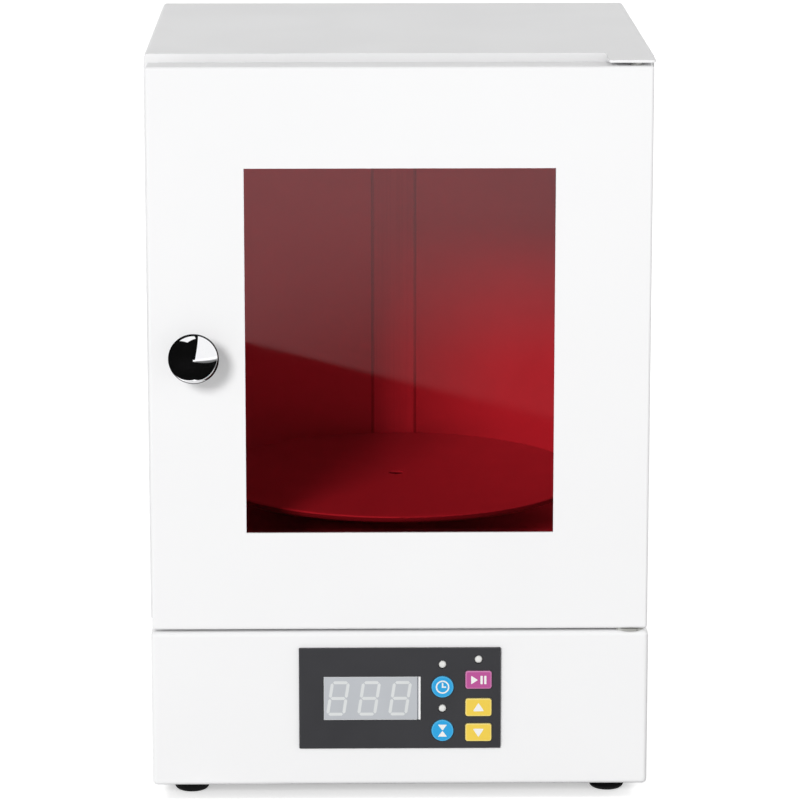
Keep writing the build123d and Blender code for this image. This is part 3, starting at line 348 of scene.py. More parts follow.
def sheet_metal(name, colour, roughness, stretch, scale=1500.0):
    """Rolled, brushed or turned metal: soft wiped patches and fine lines along one direction, or an even
    grain where the stretch is the same each way."""
    material, tree, shader, place = new_material(name, Metallic=1.0)
    lines = use(tree, LINES, Vector=place, Scale=scale, Stretch=stretch)
    wiped = use(tree, WIPED, Vector=place, Scale=20.0, Low=roughness - 0.06, High=roughness + 0.06)
    feed(tree, toned(tree, lines["Mask"], colour, 0.94, 1.04), shader, "Base Color")
    feed(tree, wiped["Roughness"], shader, "Roughness")
    bump(tree, shader, lines["Height"], 3e-6)
    return material


def satin_sheet(name, colour, roughness):
    """Bead-blasted sheet or plating: a dull even metal with a fine frosted grain."""
    material, tree, shader, place = new_material(name, Metallic=0.35)
    grain = use(tree, GRAIN, Vector=place, Scale=2200.0, Cells=0.4)
    wiped = use(tree, WIPED, Vector=place, Scale=10.0, Low=roughness - 0.05, High=roughness + 0.05)
    feed(tree, toned(tree, grain["Cloud"], colour, 0.97, 1.03), shader, "Base Color")
    feed(tree, wiped["Roughness"], shader, "Roughness")
    bump(tree, shader, grain["Height"], 6e-6)
    return material


def moulded(name, colour, roughness, scale=1400.0, depth=20e-6, gloss=0.5):
    """Moulded plastic or rubber: fine spark grain, slightly uneven colour and sheen."""
    material, tree, shader, place = new_material(name, Specular_IOR_Level=gloss)
    grain = use(tree, GRAIN, Vector=place, Scale=scale, Cells=0.5)
    wiped = use(tree, WIPED, Vector=place, Scale=30.0, Low=roughness - 0.05, High=roughness + 0.06)
    feed(tree, toned(tree, grain["Cloud"], colour, 0.9, 1.12), shader, "Base Color")
    feed(tree, wiped["Roughness"], shader, "Roughness")
    bump(tree, shader, grain["Height"], depth)
    return material


def foam(name, colour):
    """Closed-cell foam: small open dimples, dull, with painted shade that makes the dimples darker."""
    material, tree, shader, place = new_material(name, Roughness=0.95, Sheen_Weight=0.2)
    grain = use(tree, GRAIN, Vector=place, Scale=900.0, Cells=0.9)
    dimple_and_shade = ranged(tree, grain["Height"], 0.15, 0.6)
    # painted shade: darker in the dimples, lighter on the cell tops
    feed(tree, toned(tree, dimple_and_shade, colour, 0.5, 1.5), shader, "Base Color")
    bump(tree, shader, dimple_and_shade, 150e-6)
    return material


KEY_FLANGE = 0.8 * MM  # hidden behind the panel
KEY_CORNER = 1.2 * MM
KEY_RIM = 0.7 * MM


def key_cap(name, node, colour, rim, corner):
    """Printed key: its colour, with a paler line along the rim. A key with no corner radius is round."""
    low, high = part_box(node)
    half = (high - low) / 2 - Vector((1, 0, 1)) * KEY_FLANGE
    material, tree, shader, place = new_material(name, Roughness=0.38, Specular_IOR_Level=0.4)
    band = use(
        tree, RIM, Vector=centred(tree, place, middle(node)),
        Half_Width=half.x, Half_Height=half.z, Corner=corner or half.x, Band=KEY_RIM,
    )
    grain = use(tree, GRAIN, Vector=place, Scale=2500.0, Cells=0.3)
    body = toned(tree, grain["Cloud"], colour, 0.97, 1.03)
    feed(tree, mixed(tree, band["Mask"], body, rim), shader, "Base Color")
    bump(tree, shader, grain["Height"], 8e-6)
    return material


def red_acrylic(name, colour):
    """Transparent red acrylic with wiped patches. What is seen through it is bent by it. A shadow ray goes
    straight through, and takes the square root of its colour at each of its two faces."""
    material, tree, shader, place = new_material(name, Transmission_Weight=1.0, IOR=1.49)
    wiped = use(tree, WIPED, Vector=place, Scale=18.0, Low=0.0, High=0.03)
    feed(tree, toned(tree, wiped["Mask"], colour, 1.0, 0.97), shader, "Base Color")
    feed(tree, wiped["Roughness"], shader, "Roughness")
    passing = add(tree, "ShaderNodeBsdfTransparent", {"Color": (*[c**0.5 for c in colour], 1.0)})
    shadow = add(tree, "ShaderNodeLightPath").outputs["Is Shadow Ray"]
    choice = add(tree, "ShaderNodeMixShader", {0: shadow, 1: shader.outputs[0], 2: passing.outputs[0]})
    feed(tree, choice.outputs[0], tree.nodes["Material Output"], "Surface")
    return material


def circuit_board(name, colour, track):
    """Solder mask with copper tracks showing through, as the joints of a brick pattern."""
    material, tree, shader, place = new_material(name, Roughness=0.3)
    black, white = (0, 0, 0, 1), (1, 1, 1, 1)
    pattern = {"Scale": 120.0, "Mortar Size": 0.06, "Color1": black, "Color2": black, "Mortar": white}
    bricks = add(tree, "ShaderNodeTexBrick", {"Vector": place, **pattern})
    grain = use(tree, GRAIN, Vector=place, Scale=900.0, Cells=0.2)
    base = toned(tree, grain["Cloud"], colour, 0.8, 1.2)
    feed(tree, mixed(tree, bricks.outputs["Color"], base, track), shader, "Base Color")
    bump(tree, shader, bricks.outputs["Fac"], 40e-6)
    return material


STRIP_HALF = 11.2 * MM  # half width of a diffuser strip
GAP_SHADE_INNER, GAP_SHADE_OUTER = 1.2 * MM, 0.4 * MM  # from the strip's edge: the band of painted shade


def frosted(name, colour, gap_shade):
    """Frosted diffuser strip: milky, with fine ribs along its length, and a grey line along both edges that
    is painted shade, the shadow in the narrow gaps at its sides. The strip on the back wall lies along X, and
    those on the side walls along Y about the disc's axis."""
    material, tree, shader, place = new_material(name, IOR=1.49)
    spot = split(tree, place)
    across_back = math_node(tree, "ABSOLUTE", spot["X"])
    across_side = math_node(tree, "ABSOLUTE", math_node(tree, "SUBTRACT", spot["Y"], middle("turntable").y))
    on_side = math_node(tree, "GREATER_THAN", across_back, 2 * STRIP_HALF)
    across = blended(tree, on_side, across_back, across_side)
    # painted shade along both long edges, where the gaps beside the strip lie in shadow
    edge = ranged(tree, across, STRIP_HALF - GAP_SHADE_INNER, STRIP_HALF - GAP_SHADE_OUTER, smooth=True)
    lines = use(tree, LINES, Vector=place, Scale=1800.0, Stretch=(1.0, 1.0, 0.004))
    grain = use(tree, GRAIN, Vector=place, Scale=1600.0, Cells=0.6)
    ribs = toned(tree, lines["Mask"], colour, 0.95, 1.03)
    feed(tree, mixed(tree, edge, ribs, gap_shade), shader, "Base Color")
    feed(tree, ranged(tree, grain["Height"], 0.2, 0.8, 0.42, 0.6), shader, "Roughness")
    bump(tree, shader, grain["Height"], 20e-6)
    return material


DISC_EDGE_LOW, DISC_EDGE_HIGH = 0.9 * MM, 0.4 * MM  # below the disc's top
DISC_SIDE_SHADE = 0.3  # the painted shade on the side: how dark it is, as a share of the top


def turntable_finish(name, colour):
    """Satin disc with fine rings turned about its axis, and painted shade on its side below its upper edge.
    """
    material, tree, shader, place = new_material(name, Metallic=0.0, Specular_IOR_Level=0.6)
    flat = vector_node(tree, "MULTIPLY", centred(tree, place, middle("turntable")), (1.0, 1.0, 0.0))
    radius = vector_node(tree, "LENGTH", flat, output="Value")
    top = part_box("turntable")[1].z
    height = split(tree, place)["Z"]
    face = ranged(tree, height, top - DISC_EDGE_LOW, top - DISC_EDGE_HIGH, smooth=True)
    inputs = {"W": radius, "Scale": 1800.0, "Detail": 3.0}
    rings = add(tree, "ShaderNodeTexNoise", inputs, noise_dimensions="1D").outputs[0]
    wiped = use(tree, WIPED, Vector=place, Scale=25.0, Low=0.3, High=0.42)
    turned_face = toned(tree, rings, colour, 0.93, 1.05)
    # painted shade: the disc's side is darkened below its upper edge
    feed(tree, mixed(tree, face, tone(colour, DISC_SIDE_SHADE), turned_face), shader, "Base Color")
    feed(tree, wiped["Roughness"], shader, "Roughness")
    bump(tree, shader, rings, 6e-6)
    return material


OUTLINE_SHADE_INNER, OUTLINE_SHADE_OUTER = 0.65 * MM, 0.5 * MM  # from the knob's rim: the band of painted shade along the knob's edge


def chrome(name, bright, dull, outline_shade):
    """Polished chrome with a trace of wiping, and a dark line along the rim that is painted shade, standing
    in for the shade and dark reflection at the knob's edge."""
    material, tree, shader, place = new_material(name, Metallic=1.0)
    wiped = use(tree, WIPED, Vector=place, Scale=90.0, Low=0.02, High=0.05)
    plating = mixed(tree, wiped["Mask"], bright, dull)
    flat = vector_node(tree, "MULTIPLY", centred(tree, place, knob_middle), (1.0, 0.0, 1.0))
    radius = vector_node(tree, "LENGTH", flat, output="Value")
    # painted shade: a dark band along the knob's rim, in place of the shade and dark reflection at its edge
    line = ranged(tree, radius, knob_radius - OUTLINE_SHADE_INNER, knob_radius - OUTLINE_SHADE_OUTER, smooth=True)
    feed(tree, mixed(tree, line, plating, outline_shade), shader, "Base Color")
    feed(tree, wiped["Roughness"], shader, "Roughness")
    return material


def milky(name, colour, roughness=0.3):
    """Diffusing resin, as on lamps and display segments."""
    material, tree, shader, place = new_material(name, Coat_Weight=0.3, Coat_Roughness=0.1)
    grain = use(tree, GRAIN, Vector=place, Scale=1800.0, Cells=0.2)
    feed(tree, toned(tree, grain["Cloud"], colour, 0.93, 1.04), shader, "Base Color")
    rough = ranged(tree, grain["Cloud"], 0.2, 0.8, roughness - 0.05, roughness + 0.05)
    feed(tree, rough, shader, "Roughness")
    bump(tree, shader, grain["Height"], 4e-6)
    return material


DISPLAY_BORDER = 0.5 * MM
DISPLAY_LIT_STRIP, DISPLAY_SOFT = 1.0 * MM, 0.05 * MM  # the width of the strip of painted light and its soft edge


def display_face(name, colour, strip, border):
    """Grey display face with a paler line along its edges, and a white strip of painted light right of the
    channel in its face, where light falls on it.
    """
    low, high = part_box("display_module")
    half = (high - low) / 2
    material, tree, shader, place = new_material(name)
    spot = centred(tree, place, (low + high) / 2)
    band = use(
        tree, RIM, Vector=spot,
        Half_Width=half.x, Half_Height=half.z, Corner=DISPLAY_BORDER, Band=DISPLAY_BORDER,
    )
    grain = use(tree, GRAIN, Vector=place, Scale=3000.0, Cells=0.3)
    lit_strip_left = half.x - DISPLAY_LIT_STRIP
    # painted light: the strip right of the channel is made white, as if light fell on it
    right = ranged(tree, split(tree, spot)["X"], lit_strip_left, lit_strip_left + DISPLAY_SOFT)
    face = mixed(tree, band["Mask"], toned(tree, grain["Cloud"], colour, 0.95, 1.05), border)
    feed(tree, mixed(tree, right, face, strip), shader, "Base Color")
    feed(tree, ranged(tree, grain["Cloud"], 0.2, 0.8, 0.36, 0.44), shader, "Roughness")
    bump(tree, shader, grain["Height"], 4e-6)
    return material


BLUE, BLUE_RIM = (0.02, 0.37, 0.74), (0.1, 0.5, 0.84, 1.0)
MAGENTA, MAGENTA_RIM = (0.5, 0.085, 0.31), (0.75, 0.3, 0.55, 1.0)
YELLOW, YELLOW_RIM = (0.87, 0.62, 0.075), (0.95, 0.8, 0.3, 1.0)

zinc = sheet_metal("zinc_plated_steel", (0.66, 0.66, 0.68), 0.34, (1.0, 1.0, 1.0), scale=700.0)
# the last colour is the painted shade on the knob's rim
polished = chrome(
    "polished_chrome", (0.93, 0.93, 0.94, 1.0), (0.9, 0.9, 0.92, 1.0), (0.05, 0.05, 0.055, 1.0)
)
mark_ink = milky("mark_ink", (0.88, 0.88, 0.86), 0.5)
# the white is the painted light on the display's right-hand strip
display = display_face("display_face", (0.5, 0.52, 0.55), (0.9, 0.9, 0.9, 1.0), (0.68, 0.7, 0.71, 1.0))

finishes = {
    powder_coat("white_powder_coat", (0.9, 0.9, 0.905), 0.36): [
        "base_housing", "base_plate", "cabinet_shell", "cabinet_back", "front_frame", "door_panel",
        "door_liner",
    ],
    zinc: [
        "foot_screws", "board_screws", "cabinet_screws", "motor_screws", "liner_screws", "retainer_nuts",
        "knob_screw", "motor_shaft", "strike_plate", "power_jack_nut", "turntable_motor",
    ],
    satin_sheet("reflector_sheet", (0.88, 0.88, 0.89), 0.55): [
        "left_reflector", "right_reflector", "rear_reflector", "ceiling_reflector", "chamber_floor",
    ],
    moulded("black_plastic", (0.03, 0.03, 0.03), 0.42): [
        "key_switches", "power_jack", "window_retainer", "catch_magnet",
    ],
    satin_sheet("bright_nickel", (0.58, 0.58, 0.55), 0.25): ["pivot_washer"],
    satin_sheet("satin_nickel", (0.62, 0.62, 0.6), 0.38): [
        "lower_pivot_pin", "upper_pivot_pin", "hinge_bushes",
    ],
    # near-black, dull screw: black oxide, and painted shade for the dark hollow it sits in
    moulded("black_oxide_and_recess_shade", (0.015, 0.015, 0.017), 0.9, scale=1800.0, depth=6e-6, gloss=0.1): [
        "turntable_screw",
    ],
    moulded("black_rubber", (0.006, 0.006, 0.0065), 0.75, scale=900.0, depth=30e-6, gloss=0.2): ["feet"],
    moulded("charcoal_panel", (0.042, 0.042, 0.047), 0.45, scale=2600.0, depth=8e-6): ["control_panel"],
    moulded("capacitor_sleeve", (0.02, 0.03, 0.08), 0.3, scale=600.0, depth=5e-6): ["driver_capacitors"],
    moulded("white_nylon", (0.74, 0.73, 0.68), 0.45): ["turntable_hub", "floor_bush"],
    foam("black_foam", (0.03, 0.03, 0.03)): ["door_seal"],
    display: ["display_module"],
    milky("segment_resin", (0.72, 0.74, 0.74)): ["display_segments"],
    milky("lamp_resin", (0.82, 0.82, 0.8), 0.2): ["indicator_lamps"],
    milky("lamp_chip", (0.75, 0.68, 0.3), 0.15): ["led_chips"],
    circuit_board("green_board", (0.02, 0.14, 0.06), (0.05, 0.3, 0.12, 1.0)): [
        "control_board", "driver_board",
    ],
    circuit_board("white_board", (0.8, 0.8, 0.78), (0.7, 0.7, 0.66, 1.0)): ["led_boards"],
    # the grey is the painted shade along the strip's edges
    frosted("frosted_strip", (0.84, 0.86, 0.88), (0.6, 0.6, 0.6, 1.0)): ["diffusers"],
    sheet_metal("drawn_aluminium", (0.6, 0.6, 0.62), 0.4, (0.01, 1.0, 1.0)): ["driver_heatsink"],
    sheet_metal("turned_brass", (0.78, 0.6, 0.3), 0.3, (0.02, 0.02, 1.0), scale=3000.0): [
        "panel_standoffs", "driver_standoffs",
    ],
    turntable_finish("satin_disc", (0.58, 0.58, 0.59)): ["turntable"],
    red_acrylic("red_acrylic", (1.0, 0.16, 0.205)): ["window_pane"],
    polished: ["door_knob"],
    key_cap("upper_blue_key", "upper_round_key", BLUE, BLUE_RIM, None): ["upper_round_key"],
    key_cap("lower_blue_key", "lower_round_key", BLUE, BLUE_RIM, None): ["lower_round_key"],
    key_cap("magenta_key", "power_key", MAGENTA, MAGENTA_RIM, KEY_CORNER): ["power_key"],
    key_cap("upper_yellow_key", "up_key", YELLOW, YELLOW_RIM, KEY_CORNER): ["up_key"],
    key_cap("lower_yellow_key", "down_key", YELLOW, YELLOW_RIM, KEY_CORNER): ["down_key"],
}
for finish, nodes in finishes.items():
    for node in nodes:
        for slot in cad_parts[node].material_slots:
            slot.material = finish


# ---------------------------------------------------------------- knob
FOOT_RADIUS, FOOT_HEIGHT = 6.6 * MM, 1.2 * MM
WAIST_RADIUS, WAIST_SHARE = 5.0 * MM, 0.27  # the waist's height is a share of the knob's
DOME_RADIUS, RIM_ROUND = 14.9 * MM, 0.8 * MM
RIM_START = -70  # degrees, on the rim's round, where the flare meets it
FLARE_TURN = math.pi / 1.6  # the part of the cosine that the flare follows
KNOB_SIDES = 96
TAPER_STEPS, FLARE_STEPS, RIM_STEPS, DOME_STEPS = 10, 30, 16, 40


def knob_profile():
    """Half section of the knob from its foot to its crown, as (radius, height): a straight foot, a waist and
    flare on a cosine curve, a small round at the rim and a dome that is part of a sphere."""
    dome_centre = knob_height - DOME_RADIUS
    reach = knob_radius - RIM_ROUND
    slope = math.degrees(math.asin(reach / (DOME_RADIUS - RIM_ROUND)))
    rim_height = dome_centre + (DOME_RADIUS - RIM_ROUND) * math.cos(math.radians(slope))
    dome = arc((0, dome_centre), DOME_RADIUS, 90 - slope, 90, DOME_STEPS)
    rim = arc((reach, rim_height), RIM_ROUND, RIM_START, 90 - slope, RIM_STEPS)
    share = np.linspace(0, 1, FLARE_STEPS)[:, None]
    start = np.array([WAIST_RADIUS, WAIST_SHARE * knob_height])
    flare = (1 - np.cos(share * FLARE_TURN)) / (1 - math.cos(FLARE_TURN))
    rise = start + (rim[0] - start) * np.c_[flare, share]
    foot = np.array([[0, 0], [FOOT_RADIUS, 0], [FOOT_RADIUS, FOOT_HEIGHT]])
    taper = np.linspace(foot[-1], start, TAPER_STEPS)[1:-1]
    return np.vstack([foot, taper, rise, rim[1:], dome[1:]])


points, faces = turned(knob_profile(), KNOB_SIDES)
points = facing(points, (knob_middle.x, door_front, knob_middle.z), (0, -1, 0))
piece("door_knob_surface", points, faces, "door", "knob_chrome", polished, "door_knob")

# ---------------------------------------------------------------- screws
HEAD_RADIUS, HEAD_HEIGHT, HEAD_EDGE = 2.9 * MM, 1.8 * MM, 0.45 * MM
SHANK_RADIUS = 1.5 * MM
RECESS_REACH, RECESS_WIDTH, RECESS_SOFT = 0.62, 0.17, 0.06  # of the head's radius
RECESS_DEPTH = 1.1 * MM
NEXT_TURN = 2.4  # radians, from each screw's recess to the next one's
SCREW_SIDES, HEAD_STEPS = 64, 26


def pan_screw(length, turn):
    """Pan-head screw about +Z, its head on z = 0. The head's height over the radius r is an ellipse's quarter
    over a straight edge. From it is taken a cross whose depth falls off with the square of r, and whose arms
    end softly."""
    dome = np.radians(np.linspace(0, 90, HEAD_STEPS))
    head = np.c_[HEAD_RADIUS * np.cos(dome), HEAD_EDGE + (HEAD_HEIGHT - HEAD_EDGE) * np.sin(dome)]
    shank = [(0, -length), (SHANK_RADIUS, -length), (SHANK_RADIUS, 0), (HEAD_RADIUS, 0)]
    points, faces = turned(np.vstack([shank, head]), SCREW_SIDES)
    x, y, z = points.T
    u = (x * math.cos(turn) + y * math.sin(turn)) / HEAD_RADIUS
    v = (y * math.cos(turn) - x * math.sin(turn)) / HEAD_RADIUS
    arm = np.clip((RECESS_WIDTH - np.minimum(abs(u), abs(v))) / RECESS_SOFT, 0, 1)
    reach = np.clip(1 - (u**2 + v**2) / RECESS_REACH**2, 0, 1)
    points[:, 2] = np.where(z > HEAD_EDGE, z - RECESS_DEPTH * arm * reach, z)
    return points, faces


def screws_on_back(node, body, rows, length):
    """The node's screws again, in two columns, each turned to its own angle. Their heads look back and fill
    the node's box."""
    low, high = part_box(node)
    heights = np.linspace(low.z + HEAD_RADIUS, high.z - HEAD_RADIUS, rows)
    columns = (low.x + HEAD_RADIUS, high.x - HEAD_RADIUS)
    parts = []
    for index, (x, z) in enumerate((x, z) for x in columns for z in heights):
        points, faces = pan_screw(length, index * NEXT_TURN)
        parts.append((facing(points, (x, high.y - HEAD_HEIGHT, z), (0, 1, 0)), faces))
    piece(node + "_heads", *joined(parts), body, "bare_steel", zinc, node, crease=40.0)


screws_on_back("cabinet_screws", "cabinet", 3, 4.2 * MM)
screws_on_back("liner_screws", "door", 4, 4.0 * MM)

# ---------------------------------------------------------------- marks on the keys
MARK_LIFT = 0.06 * MM
HAIRLINE = 0.5  # degrees, half the cut in a ring
RING_STEPS = 40


def mark(name, key, outlines):
    """Printed marks on a key: each outline, in millimetres, becomes a thin plate just proud of its face."""
    low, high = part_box(key)
    centre = ((low.x + high.x) / 2, low.y, (low.z + high.z) / 2)
    points, faces = joined([plate(np.asarray(o) * MM, MARK_LIFT) for o in outlines])
    points = np.stack([points[:, 0], -points[:, 2], points[:, 1]], axis=1) + np.array(centre)
    piece(name, points, faces, key, "segment_white", mark_ink)


def ring(outer, inner):
    """Ring that is cut open by a hairline at its top, so that it is one outline: round the outer circle and
    back along the inner one."""
    start, end = 90 + HAIRLINE, 450 - HAIRLINE
    return np.vstack([arc((0, 0), outer, start, end, RING_STEPS), arc((0, 0), inner, end, start, RING_STEPS)])


triangle = np.array([(-2.7, -1.9), (2.7, -1.9), (0, 2.3)])
mark("up_arrow", "up_key", [rounded(triangle, 0.3)])
mark("down_arrow", "down_key", [rounded(triangle[::-1] * (1, -1), 0.3)])
play = rounded([(-3.6, -2.2), (-0.3, 0), (-3.6, 2.2)], 0.25)
bars = [rounded([(x, -2.1), (x + 1.1, -2.1), (x + 1.1, 2.1), (x, 2.1)], 0.2) for x in (0.9, 2.7)]
mark("run_and_hold_mark", "power_key", [play, *bars])
hands = rounded([(-0.35, 2.1), (-0.35, -0.35), (1.7, -0.35), (1.7, 0.35), (0.35, 0.35), (0.35, 2.1)], 0.1)
mark("clock_mark", "upper_round_key", [ring(3.3, 2.6), hands])
glass_top = rounded([(-2.2, 3.0), (0, 0.1), (2.2, 3.0)], 0.15)
glass_foot = rounded([(2.2, -3.0), (0, -0.1), (-2.2, -3.0)], 0.15)
mark("sand_glass_mark", "lower_round_key", [glass_top, glass_foot])


# ---------------------------------------------------------------- floor
FLOOR_REACH = 6.0
FLOOR_GLOW, FLOOR_SHADE = 0.67, 0.46  # the glow that is seen, on open floor and under the unit
FLOOR_LIGHT = 0.47  # what matt surfaces get from open floor
FLOOR_WHITE, FLOOR_BOUNCE = 0.8, 0.15  # the floor's colour as it is seen, and for light that it sends on
FOOTPRINT_INSET = 7 * MM  # of the shaded floor, from the base's sides
FOOTPRINT_EDGE = (-1 * MM, 4 * MM)  # over which the shaded floor ends


def background_share(tree):
    """1 for the rays that see the background: straight, in metal and gloss, and through glass. It is 0 for a
    ray that has met a matt surface, which gathers the studio's light instead."""
    path = add(tree, "ShaderNodeLightPath")
    seen = math_node(tree, "MAXIMUM", path.outputs["Is Camera Ray"], path.outputs["Is Glossy Ray"])
    seen = math_node(tree, "MAXIMUM", seen, path.outputs["Is Transmission Ray"])
    straight = math_node(tree, "LESS_THAN", path.outputs["Diffuse Depth"], 0.5)
    return math_node(tree, "MULTIPLY", seen, straight)


def bare_material(name):
    """Material with an empty tree, and the tree."""
    material = bpy.data.materials.new(name)
    material.use_nodes = True
    material.node_tree.nodes.clear()
    return material, material.node_tree


def show(tree, surface):
    """Makes a shader's output the surface of a bare material's tree."""
    output = add(tree, "ShaderNodeOutputMaterial", {"Surface": surface})
    output.is_active_output = True


def floor_material():
    """Pale floor that shows white, and keeps the shadow of what stands on it. Matt surfaces get an even light
    from it, so that the unit's front doesn't darken towards its foot, but none from the shaded floor under
    the unit."""
    material, tree = bare_material("pale_floor")
    low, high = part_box("base_housing")
    half = (high - low) / 2 - Vector((FOOTPRINT_INSET, 0, 0))
    place = add(tree, "ShaderNodeTexCoord").outputs["Object"]
    spot = split(tree, centred(tree, place, middle("base_housing")))
    beside = [math_node(tree, "SUBTRACT", math_node(tree, "ABSOLUTE", spot[a]), half[a]) for a in (0, 1)]
    open_floor = ranged(tree, math_node(tree, "MAXIMUM", *beside), *FOOTPRINT_EDGE)
    seen = background_share(tree)
    bounce = math_node(tree, "MULTIPLY", open_floor, FLOOR_LIGHT)
    white = ranged(tree, open_floor, 0.0, 1.0, FLOOR_SHADE, FLOOR_GLOW)
    grey = mixed(tree, seen, tone((FLOOR_BOUNCE,) * 3, 1.0), tone((FLOOR_WHITE,) * 3, 1.0))
    body = add(tree, "ShaderNodeBsdfDiffuse", {"Color": grey})
    glow = add(tree, "ShaderNodeEmission", {"Strength": ranged(tree, seen, 0.0, 1.0, bounce, white)})
    both = add(tree, "ShaderNodeAddShader", {0: body.outputs[0], 1: glow.outputs[0]})
    show(tree, both.outputs[0])
    return material


corners = FLOOR_REACH * np.array([(-1, -1, 0), (1, -1, 0), (1, 1, 0), (-1, 1, 0)])
mesh_object("floor", corners, [(0, 1, 2, 3)], floor_material())


# ---------------------------------------------------------------- studio in front of the unit
def direction(azimuth, elevation):
    """Unit vector: azimuth 0 looks to the front, positive to the right, in degrees."""
    a, e = math.radians(azimuth), math.radians(elevation)
    return Vector((math.sin(a) * math.cos(e), -math.cos(a) * math.cos(e), math.sin(e)))


def edge_plane(first, second, inside):
    """Normal of the plane through the knob and two directions, turned to the side that a third one is on."""
    normal = first.cross(second).normalized()
    return normal if normal.dot(inside) > 0 else -normal


COVE_RADIUS, COVE_LIFT, COVE_HALF_TURN = 3.2, 2 * MM, 120
COVE_COLUMNS, COVE_ROWS_BELOW, COVE_ROWS_ABOVE = 97, 45, 31
COVE_DARK = 0.004
THROUGH_WINDOW = 0.28  # the light that comes in through the window to matt surfaces
knob_face = Vector((knob_middle.x, knob_low.y, knob_middle.z))

# the white card: its foot slopes down to the right and its left edge leans to the right, and at the foot a
# strip widens it to the left
card_inside = direction(50.0, 20.0)
CARD_FOOT = edge_plane(direction(-0.05, -11.3), direction(14.8, -14.43), card_inside)
CARD_EDGE = edge_plane(direction(3.5, -12.4), direction(43.0, 71.0), card_inside)
STRIP_EDGE = edge_plane(direction(-2.2, -4.0), direction(-2.2, -13.0), card_inside)
STRIP_TOP = edge_plane(direction(-2.2, -5.0), direction(4.0, -5.0), direction(0.0, -12.0))
EDGE_SOFT, STRIP_SOFT, STRIP_TOP_SOFT, LAMP_SOFT = 0.008, 0.004, 0.01, 0.02
FOOT_SOFT = (0.0008, 0.006)  # how soft the card's foot is at the two ends of its reach
CARD_REACH = (0.0, 0.2)  # from straight ahead to the right: there the foot softens and the card fades
CARD_LOW, CARD_HIGH = 0.7, 1.3  # the card's strength at its foot and a little higher, before it falls to 1
CARD_FADE = 0.75  # the share taken off its strength at the lower right
CARD_RISE, CARD_FALL = (-0.2, -0.106), (-0.1, 0.0)  # from low to high strength, and from high to 1
FADE_HEIGHTS = (-0.21, -0.125)

# the small window above left
lamp_corner, lamp_inside = direction(-39.0, 56.0), direction(-60.0, 65.0)
LAMP_SIDES = [
    edge_plane(direction(-75.0, 51.0), lamp_corner, lamp_inside),
    edge_plane(lamp_corner, direction(20.0, 75.0), lamp_inside),
    edge_plane(direction(24.0, 60.0), direction(24.0, 85.0), lamp_inside),
    edge_plane(direction(-86.0, 50.0), direction(20.0, 86.0), lamp_inside),
]


def cove_material():
    """Dark studio in front of the unit with one white card, as metal and gloss see it. The card is what lies
    above a sloping plane and to the right of a leaning one, both through the knob, and a small window hangs
    above left. A ray that only goes through the window pane sees white, and one that has left a matt surface
    sees an even light."""
    material, tree = bare_material("studio_cove")
    ray = centred(tree, add(tree, "ShaderNodeTexCoord").outputs["Object"], knob_face)
    unit = vector_node(tree, "NORMALIZE", ray)
    across, _, up = split(tree, unit)

    def side(normal, soft):
        dot = vector_node(tree, "DOT_PRODUCT", unit, normal, "Value")
        return ranged(tree, math_node(tree, "DIVIDE", dot, soft), -1.0, 1.0, smooth=True)

    def both(a, b):
        return math_node(tree, "MULTIPLY", a, b)

    foot_soft = ranged(tree, across, *CARD_REACH, *FOOT_SOFT)
    strip = both(side(STRIP_EDGE, STRIP_SOFT), side(STRIP_TOP, STRIP_TOP_SOFT))
    card = both(side(CARD_FOOT, foot_soft), math_node(tree, "MAXIMUM", side(CARD_EDGE, EDGE_SOFT), strip))
    foot, front, end, top = [side(normal, LAMP_SOFT) for normal in LAMP_SIDES]
    lamp = both(both(foot, front), both(end, top))
    share = math_node(tree, "MAXIMUM", card, lamp)

    low_card = ranged(tree, up, *CARD_RISE, CARD_LOW, CARD_HIGH)
    upper_card = ranged(tree, up, *CARD_FALL, 1.0, 1.0 / CARD_HIGH)
    fading = both(ranged(tree, up, *FADE_HEIGHTS, CARD_FADE, 0.0), ranged(tree, across, *CARD_REACH))
    white = both(both(low_card, upper_card), math_node(tree, "SUBTRACT", 1.0, fading))
    pattern = math_node(tree, "MAXIMUM", both(share, white), COVE_DARK)

    path = add(tree, "ShaderNodeLightPath")
    reflected = math_node(tree, "GREATER_THAN", path.outputs["Glossy Depth"], 0.5)
    matt = math_node(tree, "GREATER_THAN", path.outputs["Diffuse Depth"], 0.5)
    strength = ranged(tree, reflected, 0.0, 1.0, 1.0, pattern)
    strength = ranged(tree, matt, 0.0, 1.0, strength, THROUGH_WINDOW)
    show(tree, add(tree, "ShaderNodeEmission", {"Strength": strength}).outputs[0])
    return material


def cove():
    """Front part of a dome about the knob, whose lower part is pressed flat just above the floor: the
    distance along a direction is the dome's radius, or less where the floor comes first."""
    azimuth = np.radians(np.linspace(-COVE_HALF_TURN, COVE_HALF_TURN, COVE_COLUMNS))
    below, above = np.linspace(-89, -1, COVE_ROWS_BELOW), np.linspace(0, 90, COVE_ROWS_ABOVE)
    elevation = np.radians(np.concatenate([below, above]))
    a, e = np.meshgrid(azimuth, elevation)
    ray = np.stack([np.sin(a) * np.cos(e), -np.cos(a) * np.cos(e), np.sin(e)], axis=2)
    to_floor = (knob_face.z - COVE_LIFT) / np.maximum(-ray[..., 2], 1e-6)
    length = np.where(ray[..., 2] < 0, np.minimum(COVE_RADIUS, to_floor), COVE_RADIUS)
    points = (np.array(knob_face) + ray * length[..., None]).reshape(-1, 3)
    at = np.arange(a.size).reshape(a.shape)
    faces = np.stack([at[:-1, :-1], at[:-1, 1:], at[1:, 1:], at[1:, :-1]], axis=2).reshape(-1, 4)
    return points, faces


studio = mesh_object("studio_cove", *cove(), cove_material())
studio.visible_camera = False
studio.visible_diffuse = False
studio.visible_shadow = False
studio.visible_volume_scatter = False

# ---------------------------------------------------------------- light
AMBIENT_LOW, AMBIENT_HIGH = 0.9, 0.15  # at the horizon and overhead
LAMP_TARGET = Vector((0, 0, 0.15))
LAMP_DISTANCE = 7.0


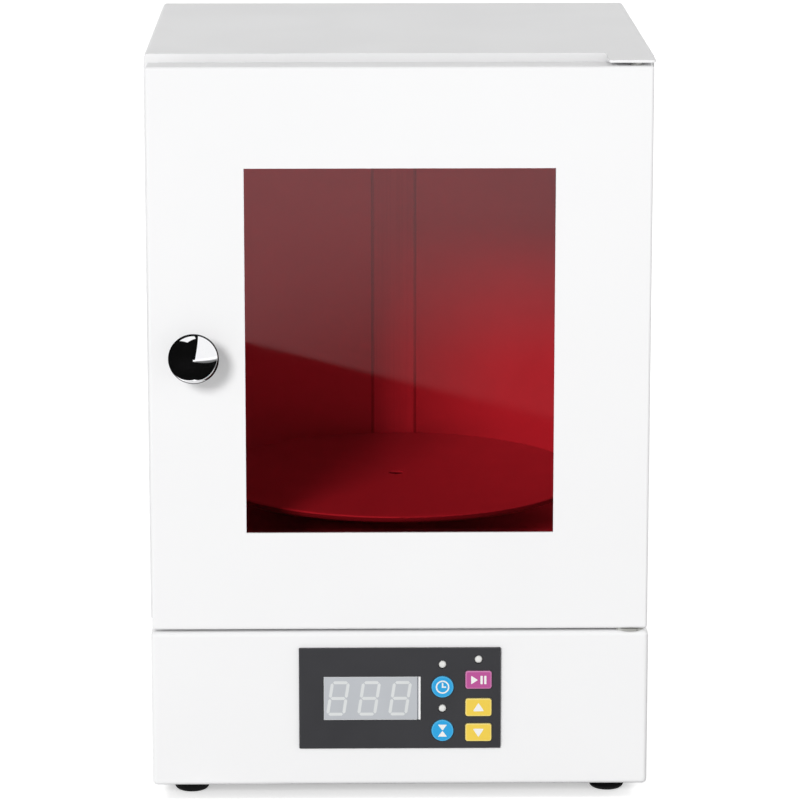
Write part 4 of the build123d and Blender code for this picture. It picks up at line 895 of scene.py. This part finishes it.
def studio_world():
    """Soft light from all round, strongest at the horizon, and a white background for the rays that see
    it."""
    world = bpy.data.worlds.new("studio")
    bpy.context.scene.world = world
    world.use_nodes = True
    tree = world.node_tree
    up = split(tree, add(tree, "ShaderNodeTexCoord").outputs["Generated"])["Z"]
    ambient = ranged(tree, up, 0.0, 1.0, AMBIENT_LOW, AMBIENT_HIGH)
    strength = ranged(tree, background_share(tree), 0.0, 1.0, ambient, 1.0)
    background = tree.nodes["Background"]
    background.inputs["Color"].default_value = (1, 1, 1, 1)
    feed(tree, strength, background, "Strength")
    world.cycles.sampling_method = "NONE"


def softbox(name, way, size, level):
    """Square area lamp that looks at the target from a way out. The level is the light on a surface that
    faces it at the target, where 1 shows a white surface as white: an even lamp of power P gives
    P / (pi d^2), and white needs pi."""
    offset = Vector(way) * LAMP_DISTANCE
    data = bpy.data.lights.new(name, "AREA")
    data.size = size
    data.energy = level * math.pi**2 * offset.length_squared
    lamp = bpy.data.objects.new(name, data)
    bpy.context.scene.collection.objects.link(lamp)
    lamp.location = LAMP_TARGET + offset
    lamp.rotation_euler = (-offset).to_track_quat("-Z", "Y").to_euler()
    lamp.visible_camera = False
    lamp.visible_glossy = False
    lamp.visible_transmission = False


studio_world()
softbox("key_light", (-0.36, -0.87, 0.4), 1.8, 0.55)
softbox("back_light", (0.5, 0.83, 0.2), 3.0, 0.26)

# ---------------------------------------------------------------- camera
CAMERA_PLACE = (-0.02625, -1.95, 0.5931)
CAMERA_DOWN, CAMERA_TURN = 12.135, -0.82  # degrees
SENSOR_WIDTH = 36.0
FOCAL_POINTS, FRAME_POINTS = 3951.4, 800  # focal length and frame width, in points of the frame

camera_data = bpy.data.cameras.new("camera")
camera_data.sensor_width = SENSOR_WIDTH
camera_data.lens = SENSOR_WIDTH * FOCAL_POINTS / FRAME_POINTS
camera_data.clip_end = 100.0
camera = bpy.data.objects.new("camera", camera_data)
bpy.context.scene.collection.objects.link(camera)
camera.location = CAMERA_PLACE
camera.rotation_euler = (math.radians(90 - CAMERA_DOWN), 0, math.radians(CAMERA_TURN))
bpy.context.scene.camera = camera
bpy.context.scene.view_settings.view_transform = "Standard"
